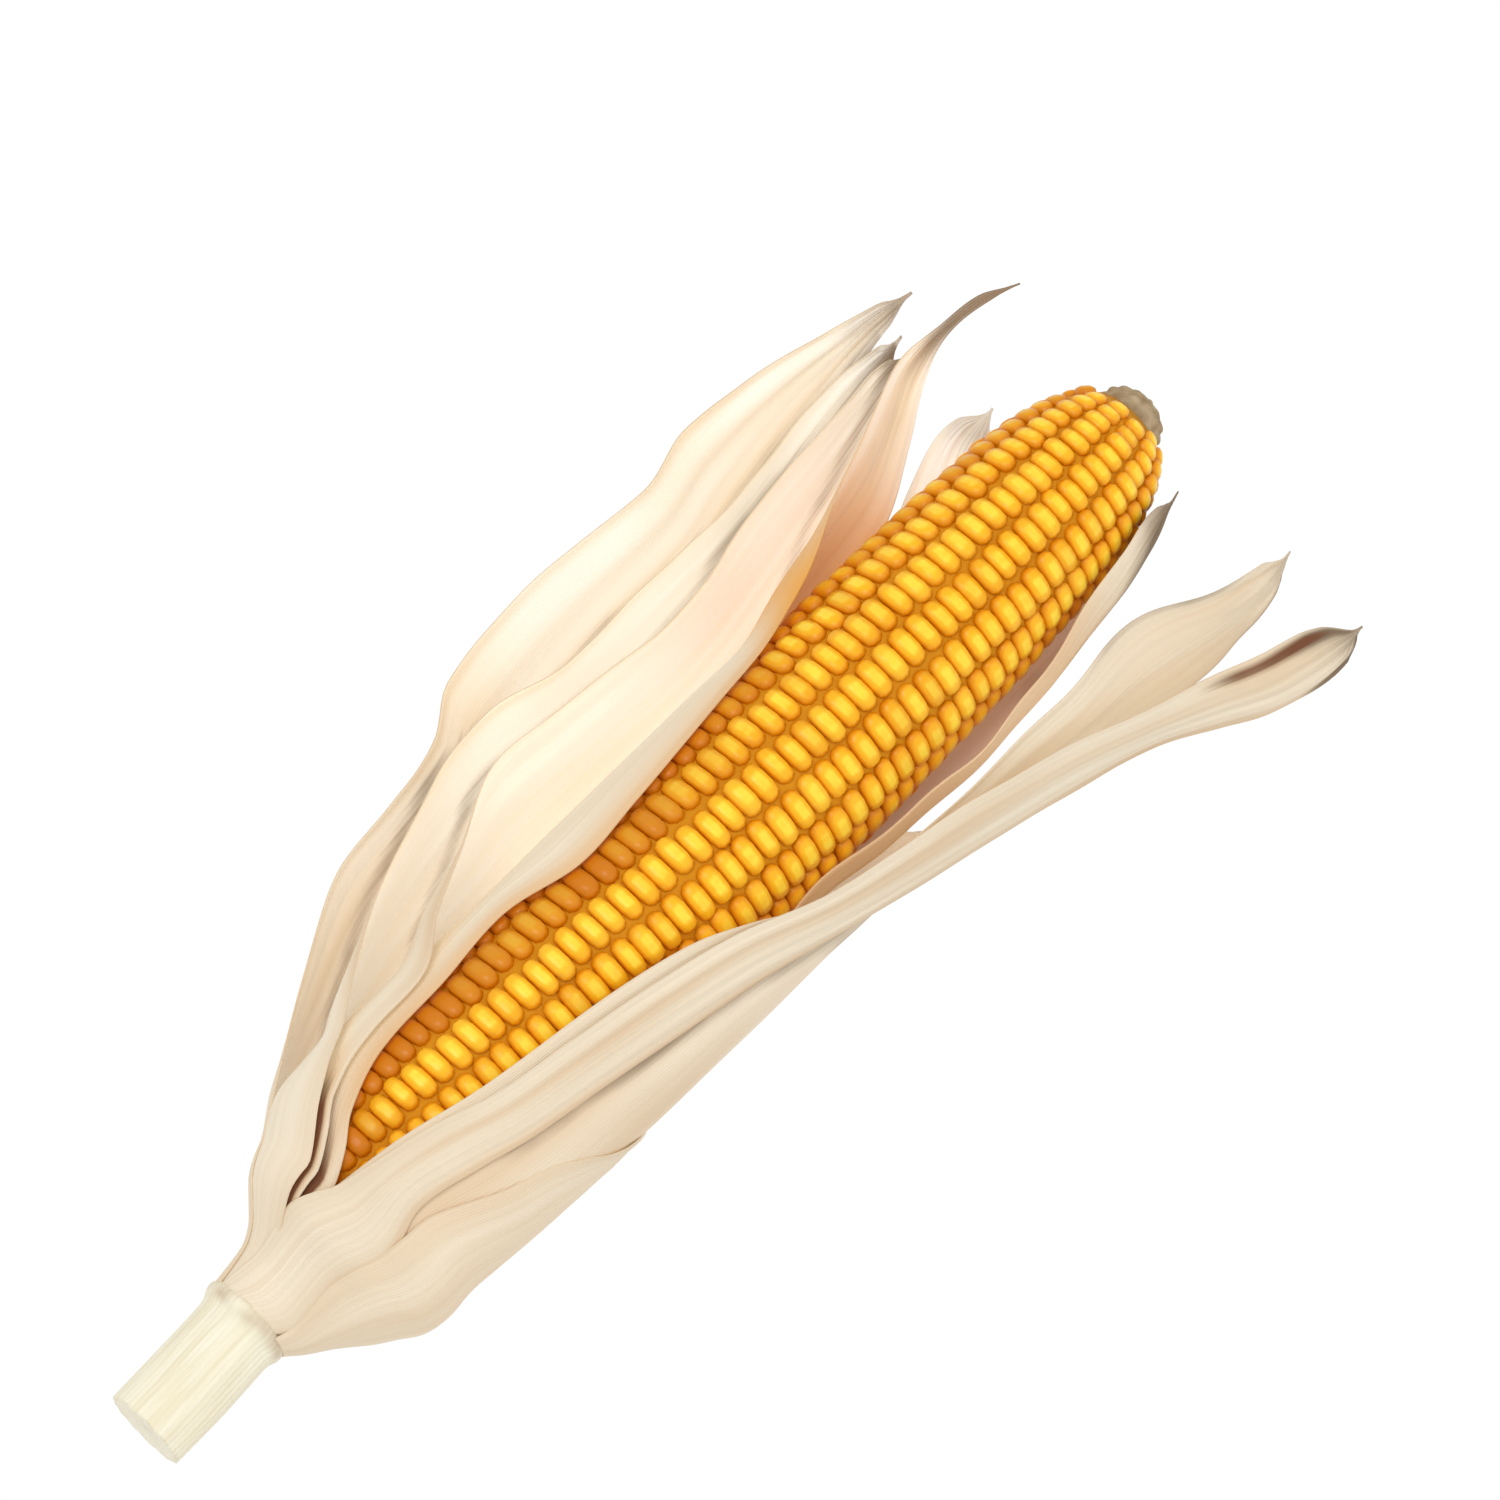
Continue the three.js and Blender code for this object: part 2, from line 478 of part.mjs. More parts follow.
function leaf(name) {
  const { stations, steps } = LEAVES[name];
  const [start, end] = [FOOT_STEPS[FOOT_STEPS.length - 1], stations[stations.length - 1][0]];
  const places = [stations[0][0], ...FOOT_STEPS];
  const count = steps[0] - FOOT_STEPS.length;
  for (let i = 1; i <= count; i += 1) {
    const u = i / count;
    places.push(lerp(start, end, u - TIP_CROWDING * Math.sin(2 * Math.PI * u)));
  }
  const grid = places.map((x) =>
    Array.from({ length: steps[1] + 1 }, (_, j) => leafPoint(LEAVES[name], x, (2 * j) / steps[1] - 1)),
  );
  return bladeSolid(grid, LEAF);
}

// ---- Assembly -----------------------------------------------------------------------------------

const finish = (color, roughness) => new THREE.MeshStandardMaterial({ color, roughness, metalness: 0 });
const KERNEL_FINISH = finish(0xe9a21a, 0.38);
const COB_FINISH = finish(0x9a8a72, 0.9);
const STALK_FINISH = finish(0xe6dcae, 0.75);
const HUSK_FINISH = finish(0xf0e4c4, 0.8);

function piece(name, geometry, material) {
  const mesh = new THREE.Mesh(geometry, material);
  mesh.name = name;
  return mesh;
}

const ear = new THREE.Group();
ear.add(piece("kernels", kernels(), KERNEL_FINISH));
ear.add(piece("cob", cob(), COB_FINISH));
ear.add(piece("stalk", stalk(), STALK_FINISH));
for (const name of Object.keys(LEAVES)) ear.add(piece(name, leaf(name), HUSK_FINISH));

// The origin goes under the middle of the box of the whole ear, on the surface.
const box = new THREE.Box3().setFromObject(ear);
const middle = box.getCenter(new THREE.Vector3());
ear.position.set(-middle.x, -middle.y, -FLOOR);

const part = new THREE.Group();
part.add(ear);
export default part;
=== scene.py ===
# %% [markdown]
# # A dried ear of maize with its husk peeled back
#
# This file dresses the plain solids of an ear of maize: its kernels, the cob, the stalk and ten husk
# leaves. The solids are loaded first, as a fixed frame, and every finer piece is made in the same place.
# Lengths are worked out in millimetres about the ear's own axis, which runs along +X from the stalk to the
# bare tip, and turned into metres only when a point is placed.

# %% Load the frame
import math
import random

import bmesh
import bpy
from mathutils import Matrix, Vector, noise


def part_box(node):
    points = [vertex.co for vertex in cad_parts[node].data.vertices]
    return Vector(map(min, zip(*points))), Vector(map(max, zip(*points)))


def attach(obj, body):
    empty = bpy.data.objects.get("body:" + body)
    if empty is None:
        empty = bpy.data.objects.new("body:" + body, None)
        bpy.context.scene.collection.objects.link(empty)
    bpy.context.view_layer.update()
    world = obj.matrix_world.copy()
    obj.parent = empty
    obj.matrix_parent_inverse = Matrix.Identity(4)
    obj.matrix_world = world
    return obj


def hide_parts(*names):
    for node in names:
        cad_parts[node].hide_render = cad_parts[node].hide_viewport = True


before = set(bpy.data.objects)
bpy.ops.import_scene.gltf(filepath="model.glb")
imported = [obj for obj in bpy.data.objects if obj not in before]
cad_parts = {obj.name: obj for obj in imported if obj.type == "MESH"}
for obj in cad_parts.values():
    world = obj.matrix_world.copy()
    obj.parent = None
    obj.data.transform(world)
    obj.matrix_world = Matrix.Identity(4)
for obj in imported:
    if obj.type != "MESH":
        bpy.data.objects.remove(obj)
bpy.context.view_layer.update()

print("solids:", sorted(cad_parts))

# %% [markdown]
# ## The ear's own frame
#
# The origin of the part lies on the surface under the middle of its box, but the shapes are easier to write
# about the ear's axis. The stalk's box shows where that axis is: its cut end lies 44 mm behind the butt of
# the ear, its ring reaches 12.4 mm to the right, and the axis is 23.6 mm above the surface.

# %% From millimetres about the ear's axis to metres in the part
MM = 0.001
STALK_END, STALK_RIGHT, FLOOR = -44, -12.4, -23.6
stalk_low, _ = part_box("stalk")
AXIS = Vector((stalk_low.x - STALK_END * MM, stalk_low.y - STALK_RIGHT * MM, -FLOOR * MM))


def place(x, y, z):
    """A point given in millimetres about the ear's axis, in metres in the part."""
    return AXIS + Vector((x, y, z)) * MM


print("ear axis starts at", tuple(round(c * 1000, 1) for c in AXIS), "mm")

# %% [markdown]
# ## Curves through a few stations
#
# Plants have no straight lines, so each long form is given at a few stations along the ear and a smooth
# curve runs through them. A cubic with shared slopes passes through every station, which makes it easy to
# say where an edge of a leaf lies.


# %% A smooth curve through stations
def smooth(stations, x):
    """The values at x of the curve through stations (x, value, value, ...)."""
    if x <= stations[0][0]:
        return list(stations[0][1:])
    if x >= stations[-1][0]:
        return list(stations[-1][1:])
    i = max(k for k in range(len(stations) - 1) if stations[k][0] < x)
    width = stations[i + 1][0] - stations[i][0]
    t = (x - stations[i][0]) / width

    def slope(at, k):
        """How much value k rises at this station, over the width of the stretch."""
        a, b = stations[max(at - 1, 0)], stations[min(at + 1, len(stations) - 1)]
        return (b[k] - a[k]) / (b[0] - a[0]) * width

    values = []
    for k in range(1, len(stations[0])):
        rise = (2 * t - 3) * t * t
        curve = (1 + rise) * stations[i][k] - rise * stations[i + 1][k]
        curve += (1 - t) ** 2 * t * slope(i, k) - (1 - t) * t * t * slope(i + 1, k)
        values.append(curve)
    return values


def lerp(a, b, t):
    """The value at share t of the way from a to b."""
    return a + (b - a) * t


def ease(low, high, x):
    """0 below low, 1 above high, and a smooth ramp between."""
    t = min(1, max(0, (x - low) / (high - low)))
    return t * t * (3 - 2 * t)


EAR_BEND, BEND_LENGTH = 1.6, 200


def axis_y(x):
    """The ear bends a little to the right in its middle."""
    return -EAR_BEND * math.sin(math.pi * x / BEND_LENGTH) if x > 0 else 0


print("a curve through (0, 0), (1, 1), (2, 0) at 0.5:", smooth([(0, 0), (1, 1), (2, 0)], 0.5))

# %% [markdown]
# ## Materials: shared effects as node groups
#
# A husk leaf, the stalk and the kernels all have long fine streaks. One node group makes streaks from any
# coordinates that run across and along a piece, so each material only gives it a spacing. The group puts
# out plain values, and the Principled shader stays in the material.


# %% Helpers for node trees
def add_node(tree, kind, values=None, **settings):
    """A node of this kind, with its settings and the values of its input sockets by name or number."""
    node = tree.nodes.new("ShaderNode" + kind)
    for name, value in settings.items():
        setattr(node, name, value)
    for name, value in (values or {}).items():
        node.inputs[name].default_value = value
    return node


def math_node(tree, operation, a, b=None, clamp=False):
    """A Math node whose inputs are numbers or sockets. It gives back its output socket."""
    node = tree.nodes.new("ShaderNodeMath")
    node.operation, node.use_clamp = operation, clamp
    for socket, value in zip(node.inputs, (a, b)):
        if isinstance(value, bpy.types.NodeSocket):
            tree.links.new(value, socket)
        elif value is not None:
            socket.default_value = value
    return node.outputs[0]


def mix_colors(tree, share, a, b, blend="MIX"):
    """A Mix node of two colours, each a tuple or a socket."""
    node = tree.nodes.new("ShaderNodeMix")
    node.data_type, node.blend_type = "RGBA", blend
    for socket, value in ((node.inputs["Factor"], share), (node.inputs[6], a), (node.inputs[7], b)):
        if isinstance(value, bpy.types.NodeSocket):
            tree.links.new(value, socket)
        elif isinstance(value, tuple):
            socket.default_value = (*value, 1)
        else:
            socket.default_value = value
    return node.outputs[2]


def ramp(tree, value, stops):
    """A Color Ramp node over value, from stops (position, grey or colour)."""
    node = tree.nodes.new("ShaderNodeValToRGB")
    tree.links.new(value, node.inputs[0])
    node.color_ramp.interpolation = "EASE"
    elements = node.color_ramp.elements
    while len(elements) < len(stops):
        elements.new(0.5)
    for element, (position, color) in zip(elements, stops):
        element.position = position
        element.color = (*(color if isinstance(color, tuple) else (color,) * 3), 1)
    return node.outputs[0]


print("node helpers:", ", ".join(f.__name__ for f in (add_node, math_node, mix_colors, ramp)))


# %% A node group for streaks and a node group for mottling
def new_group(name, inputs, outputs):
    """An empty shader node group with float or vector inputs and float outputs."""
    group = bpy.data.node_groups.new(name, "ShaderNodeTree")
    for label, kind, value in inputs:
        socket = group.interface.new_socket(label, in_out="INPUT", socket_type=kind)
        if value is not None:
            socket.default_value = value
    for label in outputs:
        group.interface.new_socket(label, in_out="OUTPUT", socket_type="NodeSocketFloat")
    return group, group.nodes.new("NodeGroupInput"), group.nodes.new("NodeGroupOutput")


def make_streaks():
    """Streaks along Y of the coordinates: Fine veins, Streaks of colour, and broad Bands."""
    group, given, out = new_group(
        "streaks",
        [
            ("Vector", "NodeSocketVector", None),
            ("Veins", "NodeSocketFloat", 70.0),
            ("Wander", "NodeSocketFloat", 0.6),
        ],
        ["Veins", "Streaks", "Bands"],
    )
    split = add_node(group, "SeparateXYZ")
    group.links.new(given.outputs["Vector"], split.inputs[0])
    across, along = split.outputs[0], split.outputs[1]

    def stretched(across_scale, along_scale, detail, seed):
        """A noise pattern drawn out along Y, by its scale each way, its detail and its seed."""
        joined = add_node(group, "CombineXYZ", {2: seed})
        group.links.new(math_node(group, "MULTIPLY", across, across_scale), joined.inputs[0])
        group.links.new(math_node(group, "MULTIPLY", along, along_scale), joined.inputs[1])
        pattern = add_node(group, "TexNoise", {"Scale": 1.0, "Detail": detail, "Roughness": 0.55})
        group.links.new(joined.outputs[0], pattern.inputs["Vector"])
        return pattern.outputs[0]

    wander = math_node(group, "MULTIPLY", stretched(5.0, 3.0, 0.0, 7.3), given.outputs["Wander"])
    phase = math_node(group, "ADD", math_node(group, "MULTIPLY", across, given.outputs["Veins"]), wander)
    wave = math_node(group, "SINE", math_node(group, "MULTIPLY", phase, 2 * math.pi))
    wave = math_node(group, "ADD", math_node(group, "MULTIPLY", wave, 0.5), 0.5)
    strength = stretched(40.0, 6.0, 1.0, 1.7)
    group.links.new(math_node(group, "MULTIPLY", wave, strength), out.inputs["Veins"])
    group.links.new(stretched(30.0, 2.4, 2.0, 4.1), out.inputs["Streaks"])
    group.links.new(stretched(6.0, 1.3, 1.0, 9.6), out.inputs["Bands"])
    return group


def make_mottling():
    """Soft blotches over a surface."""
    group, given, out = new_group(
        "mottling",
        [("Vector", "NodeSocketVector", None), ("Size", "NodeSocketFloat", 60.0)],
        ["Blotches"],
    )
    blotches = add_node(group, "TexNoise", {"Detail": 2.0, "Roughness": 0.6})
    group.links.new(given.outputs["Vector"], blotches.inputs["Vector"])
    group.links.new(given.outputs["Size"], blotches.inputs["Scale"])
    group.links.new(blotches.outputs[0], out.inputs["Blotches"])
    return group


STREAKS, MOTTLING = make_streaks(), make_mottling()
print("node groups:", STREAKS.name, MOTTLING.name)


# %% Start a material
def new_material(name, roughness, specular, **sockets):
    """A material with a Principled shader whose even values are set on its own sockets."""
    material = bpy.data.materials.new(name)
    material.use_nodes = True
    tree = material.node_tree
    tree.nodes.clear()
    shader = add_node(tree, "BsdfPrincipled", {"Roughness": roughness, "Specular IOR Level": specular})
    for label, value in sockets.items():
        shader.inputs[label.replace("_", " ")].default_value = value
    output = add_node(tree, "OutputMaterial")
    tree.links.new(shader.outputs[0], output.inputs["Surface"])
    return material, tree, shader


def use_group(tree, group, vector, **values):
    """A node that places this group in the tree, with its coordinates and its values."""
    node = tree.nodes.new("ShaderNodeGroup")
    node.node_tree = group
    tree.links.new(vector, node.inputs["Vector"])
    for label, value in values.items():
        node.inputs[label].default_value = value
    return node


def add_bump(tree, shader, height, strength, depth):
    """Relief on the shader from a height between 0 and 1, with its strength and its depth in metres."""
    bump = add_node(tree, "Bump", {"Strength": strength, "Distance": depth})
    tree.links.new(height, bump.inputs["Height"])
    tree.links.new(bump.outputs[0], shader.inputs["Normal"])


print("material helpers:", ", ".join(f.__name__ for f in (new_material, use_group, add_bump)))

# %% [markdown]
# ## The finish of a husk leaf
#
# Dry husk is cream, with fine veins along it. Its inner side is whiter and smoother, and its outer side is
# more tan. It withers to a grey-brown tip, and takes tan stains at its edges and where it was wet. Tan
# bands along the creases under the next leaf are painted shade, and the slots at the foot get red-brown
# painted shade with a brown stain. Husk is thin enough for light to come through it. Scattering inside the
# sheet would take long to render, so a weak glow in the leaf's own colour stands for that light. Each leaf
# carries four values over its surface: how withered and how stained it is, both with painted shade in
# them, how much painted orange light it gets from the kernels beside it, and how much stronger it
# glows.

# %% Husk materials
# Red-brown of the burnt bands, and of the painted shade in the slots at the foot.
BURNT_AND_SLOT_SHADE = (0.18, 0.07, 0.032)
# Painted orange light bounced from the kernels onto the husk beside them.
KERNEL_BOUNCE_COLOR = (0.76, 0.33, 0.02)
STREAK_SHARE, BAND_SHARE, STAIN_AND_SHADE_SHARE = 0.4, 0.34, 0.8
PATCHINESS, DRY_SHADE = 0.45, 0.5
VEIN_HEIGHT, STREAK_HEIGHT, BLOTCH_HEIGHT = 0.5, 0.5, 0.3


def husk_material(name, light, dark, stain_and_shade, withered_and_shade_color, relief, roughness, glow):
    """Streaked husk that stains, withers, takes painted shade and painted orange light bounced from the
    kernels, and glows by the leaf's own values.
    """
    material, tree, shader = new_material(name, roughness, specular=0.15, Emission_Strength=glow)
    uv = add_node(tree, "UVMap", uv_map="leaf")
    streaks = use_group(tree, STREAKS, uv.outputs[0], Veins=74.0, Wander=2.2)
    where = add_node(tree, "TexCoord")
    mottling = use_group(tree, MOTTLING, where.outputs["Object"], Size=55.0)
    withered_and_shaded = add_node(tree, "Attribute", attribute_name="withered_and_shaded")
    stained_and_shaded = add_node(tree, "Attribute", attribute_name="stained_and_shaded")
    kernel_bounce = add_node(tree, "Attribute", attribute_name="kernel_bounce")
    lit = add_node(tree, "Attribute", attribute_name="lit")

    share = ramp(tree, streaks.outputs["Streaks"], [(0.34, 0.0), (0.7, 1.0)])
    color = mix_colors(tree, math_node(tree, "MULTIPLY", share, STREAK_SHARE), light, dark)
    bands = ramp(tree, streaks.outputs["Bands"], [(0.36, 0.0), (0.7, 1.0)])
    # Stains, with painted shade in the tan bands along creases and in the slots.
    stain_and_shade_share = math_node(tree, "MULTIPLY", stained_and_shaded.outputs["Fac"], STAIN_AND_SHADE_SHARE)
    bands = math_node(tree, "MULTIPLY", bands, BAND_SHARE)
    stain_and_shade_share = math_node(tree, "ADD", stain_and_shade_share, bands, clamp=True)
    color = mix_colors(tree, stain_and_shade_share, color, stain_and_shade)

    patchy = math_node(tree, "ADD", streaks.outputs["Streaks"], mottling.outputs["Blotches"])
    edge = math_node(tree, "MULTIPLY", math_node(tree, "SUBTRACT", patchy, 1.0), PATCHINESS)
    # The withered value also carries painted shade in the creases and slots.
    dry = math_node(tree, "ADD", withered_and_shaded.outputs["Fac"], edge)
    dry = ramp(tree, dry, [(0.2, 0.0), (0.95, 1.0)])
    darker = tuple(c * DRY_SHADE for c in withered_and_shade_color)
    dry_and_shade_color = mix_colors(tree, mottling.outputs["Blotches"], withered_and_shade_color, darker)
    half_stained_and_shaded = math_node(tree, "MULTIPLY", stained_and_shaded.outputs["Fac"], 0.5)
    # The red-brown also paints the shade in the slots at the foot.
    burnt = ramp(tree, half_stained_and_shaded, [(0.35, 0.0), (0.65, 1.0)])
    dry_and_shade_color = mix_colors(tree, burnt, dry_and_shade_color, BURNT_AND_SLOT_SHADE)
    color = mix_colors(tree, dry, color, dry_and_shade_color)

    # Painted orange light bounced from the kernels.
    color = mix_colors(tree, kernel_bounce.outputs["Fac"], color, KERNEL_BOUNCE_COLOR)
    tree.links.new(color, shader.inputs["Base Color"])
    brighter = add_node(tree, "VectorMath", operation="SCALE")
    tree.links.new(color, brighter.inputs[0])
    tree.links.new(math_node(tree, "ADD", lit.outputs["Fac"], 1.0), brighter.inputs["Scale"])
    tree.links.new(brighter.outputs[0], shader.inputs["Emission Color"])

    height = math_node(tree, "MULTIPLY", streaks.outputs["Veins"], VEIN_HEIGHT)
    for pattern, amount in (
        (streaks.outputs["Streaks"], STREAK_HEIGHT),
        (mottling.outputs["Blotches"], BLOTCH_HEIGHT),
    ):
        height = math_node(tree, "ADD", height, math_node(tree, "MULTIPLY", pattern, amount))
    add_bump(tree, shader, height, strength=relief, depth=0.0004)
    return material


HUSK_OUTSIDE = husk_material(
    "husk_outside",
    light=(0.84, 0.74, 0.58),
    dark=(0.74, 0.61, 0.43),
    stain_and_shade=(0.70, 0.51, 0.32),
    withered_and_shade_color=(0.31, 0.22, 0.14),
    relief=0.45,
    roughness=0.65,
    glow=0.01,
)
HUSK_INSIDE = husk_material(
    "husk_inside",
    light=(0.96, 0.93, 0.85),
    dark=(0.92, 0.87, 0.75),
    stain_and_shade=(0.85, 0.70, 0.50),
    withered_and_shade_color=(0.36, 0.26, 0.17),
    relief=0.3,
    roughness=0.6,
    glow=0.16,
)
print("husk materials:", HUSK_OUTSIDE.name, HUSK_INSIDE.name)

# %% [markdown]
# ## The finish of the kernels
#
# A kernel is hard, glossy and a little translucent. Light that enters it comes out deeper and more orange
# near its base, so the colour follows each kernel's form: golden in the middle of its crown, orange towards
# its sides, deep orange in the grooves. The gold in the middle is also a painted highlight, and the deep
# orange in the grooves also painted shade. Every kernel also has a tone of its own.

# %% Kernel materials
# Golden at the top is partly a painted highlight, and deep orange at the bottom partly painted shade in the
# grooves.
CROWN_COLORS = [
    (0.2, (0.60, 0.20, 0.002)),
    (0.6, (0.82, 0.31, 0.003)),
    (0.84, (0.94, 0.46, 0.006)),
    (0.99, (1.0, 0.70, 0.05)),
]
CROWN_PATCHES = 0.16
# The deep colour also serves the painted shade beside the husk.
PALE_KERNEL, DEEP_KERNEL = (0.97, 0.64, 0.05), (0.60, 0.18, 0.001)
PALE_SHARE, DEEP_SHARE = 0.5, 0.55


def kernel_material():
    """Hard glossy skin whose colour follows the height of the crown, with a painted highlight at its middle
    and painted shade low down, and the kernel's own tone with painted shade beside the husk.
    """
    material, tree, shader = new_material(
        "kernel_skin", roughness=0.35, specular=0.25, Coat_Weight=0.06, Coat_Roughness=0.25
    )
    crown = add_node(tree, "Attribute", attribute_name="crown")
    tone_and_shade = add_node(tree, "Attribute", attribute_name="tone_and_shade")
    where = add_node(tree, "TexCoord")
    mottling = use_group(tree, MOTTLING, where.outputs["Object"], Size=420.0)
    patches = math_node(tree, "MULTIPLY", mottling.outputs["Blotches"], CROWN_PATCHES)
    depth = math_node(tree, "ADD", crown.outputs["Fac"], patches)
    depth = math_node(tree, "SUBTRACT", depth, CROWN_PATCHES / 2)
    color = ramp(tree, depth, CROWN_COLORS)
    pale = math_node(tree, "MULTIPLY", tone_and_shade.outputs["Fac"], PALE_SHARE, clamp=True)
    color = mix_colors(tree, pale, color, PALE_KERNEL)
    deep = math_node(tree, "MULTIPLY", tone_and_shade.outputs["Fac"], -DEEP_SHARE, clamp=True)
    color = mix_colors(tree, deep, color, DEEP_KERNEL)
    tree.links.new(color, shader.inputs["Base Color"])
    rough = math_node(tree, "MULTIPLY", mottling.outputs["Blotches"], 0.2)
    tree.links.new(math_node(tree, "ADD", rough, 0.25), shader.inputs["Roughness"])
    add_bump(tree, shader, mottling.outputs["Blotches"], strength=0.35, depth=0.0003)
    return material


def bed_material():
    """The soft dull ground that shows in the grooves between kernels."""
    material, tree, shader = new_material("kernel_bed", roughness=0.8, specular=0.2)
    where = add_node(tree, "TexCoord")
    mottling = use_group(tree, MOTTLING, where.outputs["Object"], Size=300.0)
    color = mix_colors(tree, mottling.outputs["Blotches"], (0.56, 0.21, 0.003), (0.72, 0.31, 0.008))
    tree.links.new(color, shader.inputs["Base Color"])
    add_bump(tree, shader, mottling.outputs["Blotches"], strength=0.6, depth=0.0004)
    return material


KERNEL_SKIN, KERNEL_BED = kernel_material(), bed_material()
print("kernel materials:", KERNEL_SKIN.name, KERNEL_BED.name)

# %% [markdown]
# ## Finishing a piece
#
# Each piece ends in the same way: its mesh becomes an object at the origin, it rides on the part's one
# body, and it stands for a plain solid.

# %% Turn a bmesh into a finished piece
WELD = 1e-6


def finish_piece(name, bm, materials, node, slot):
    """An object at the origin that rides on the one body in the place of this node; the slot is not used."""
    mesh = bpy.data.meshes.new(name)
    bm.to_mesh(mesh)
    bm.free()
    for polygon in mesh.polygons:
        polygon.use_smooth = True
    for material in materials:
        mesh.materials.append(material)
    piece = bpy.data.objects.new(name, mesh)
    bpy.context.collection.objects.link(piece)
    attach(piece, "root")
    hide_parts(node)
    print(f"{name}: {len(mesh.vertices)} vertices, {len(mesh.polygons)} faces")
    return piece


def rolled_grid(rings, sides, point):
    """A closed skin round the ear's length: a grid rolled up by point(u, turn), each from 0 to 1."""
    bm = bmesh.new()
    bmesh.ops.create_grid(bm, x_segments=rings, y_segments=sides, size=0.5)
    for v in bm.verts:
        v.co = place(*point(v.co.x + 0.5, v.co.y + 0.5))
    bmesh.ops.remove_doubles(bm, verts=bm.verts, dist=WELD)
    bmesh.ops.recalc_face_normals(bm, faces=bm.faces)
    return bm


print("piece helpers:", finish_piece.__name__, "and", rolled_grid.__name__)

# %% [markdown]
# ## The kernels
#
# Maize kernels sit in an even number of rows that turn slowly about the cob. Neighbours in a row are
# pressed flat against each other, so a kernel is a block with a domed crown, wider across the row than
# along it. One block of a few dozen faces is shaped from a cube, and a copy of it is bent into each place,
# with its own size, tilt and tone. The rows start at different places, so their kernels don't line up.

# %% The ear's profile
# The ear over its crowns: (x, radius).
EAR_PROFILE = [
    (0, 9.6), (3, 12), (8, 14.8), (16, 17.8), (35, 20.1), (75, 21), (120, 21.3), (160, 21), (185, 20.3),
    (200, 19.4), (210, 18.5), (218, 17.3), (225, 15.6), (230, 13.3), (233, 11.3), (235, 9.6),
]
KERNEL_ROWS = 14
# How far apart the kernels of a row are: (x, pitch).
KERNEL_PITCH = [(0, 3.9), (30, 4.15), (90, 4.4), (150, 4.5), (195, 4.3), (235, 3.5)]
KERNEL_DEPTH = 3.4
FIRST_GROOVE, GROOVE_X, GROOVE_TWIST = 110.3, 88, 0.136
PROFILE_STEP = 0.5
PROFILE_STEPS = round(EAR_PROFILE[-1][0] / PROFILE_STEP)


def row_angle(row, x):
    """Where the groove before a row lies about the axis, from +Y towards +Z, as it turns along the ear."""
    return math.radians(FIRST_GROOVE + row * 360 / KERNEL_ROWS + GROOVE_TWIST * (x - GROOVE_X))


PROFILE_LINE = [
    (i * PROFILE_STEP, smooth(EAR_PROFILE, i * PROFILE_STEP)[0]) for i in range(PROFILE_STEPS + 1)
]
travelled = [0.0]
for (x0, r0), (x1, r1) in zip(PROFILE_LINE, PROFILE_LINE[1:]):
    travelled.append(travelled[-1] + math.hypot(x1 - x0, r1 - r0))


def on_profile(distance):
    """The place x, the radius and the slope angle of the profile, this far along its surface."""
    i = max(1, next((k for k, d in enumerate(travelled) if d >= distance), len(travelled) - 1))
    share = (distance - travelled[i - 1]) / (travelled[i] - travelled[i - 1])
    (x0, r0), (x1, r1) = PROFILE_LINE[i - 1], PROFILE_LINE[i]
    return lerp(x0, x1, share), lerp(r0, r1, share), math.atan2(r1 - r0, x1 - x0)


print(f"the profile is {travelled[-1]:.1f} mm long over its surface")

# %% One kernel, shaped from a cube
SQUARENESS = 3.4
SHOULDER, CROWN = 0.45, 0.55


def kernel_block():
    """A block from -1 to 1 across (X) and along (Y) and from 0 to 1 high, with a domed crown."""
    bm = bmesh.new()
    bmesh.ops.create_cube(bm, size=2)
    bmesh.ops.subdivide_edges(bm, edges=bm.edges, cuts=2, use_grid_fill=True)
    for v in bm.verts:
        x, y, z = v.co
        low = min(z, 0)
        z = max(z, 0)
        norm = (abs(x) ** SQUARENESS + abs(y) ** SQUARENESS + z**SQUARENESS) ** (1 / SQUARENESS)
        x, y, z = (c / norm for c in (x, y, z))
        v.co = (x, y, SHOULDER + CROWN * z + SHOULDER * low)
    mesh = bpy.data.meshes.new("kernel_block")
    bm.to_mesh(mesh)
    bm.free()
    return mesh


KERNEL_BLOCK = kernel_block()
print("one kernel has", len(KERNEL_BLOCK.polygons), "faces")

# %% Painted shade on the kernels beside the husk
RIM_SHADE, RIGHT_RIM_SHADE, BUTT_DARKENING = 1.3, 0.7, 0.6
# Where the rim of the left leaf lies: (x, angle about the axis).
LEFT_RIM = [(0, 102), (12, 100), (20, 79), (32, 66), (50, 61), (68, 56), (84, 66), (128, 54), (150, 46)]


def painted_husk_shade(x, angle):
    """How much painted shade a kernel gets by the rim of the left leaf and low on the right, and how much
    darker it is at the butt.
    """
    from_left = (angle - smooth(LEFT_RIM, x)[0]) % 360
    from_left = from_left if from_left < 180 else 0
    left = (1 - ease(4, 30, from_left)) * (1 - ease(110, 150, x)) + 0.5 * (1 - ease(2, 14, from_left))
    right = ease(165, 200, angle) * (1 - ease(230, 260, angle)) * ease(85, 120, x)
    butt = 1 - ease(0, 18, x)
    return RIM_SHADE * left + RIGHT_RIM_SHADE * right + BUTT_DARKENING * butt


print("a kernel by the left leaf is deeper by", round(painted_husk_shade(40, 66), 2))

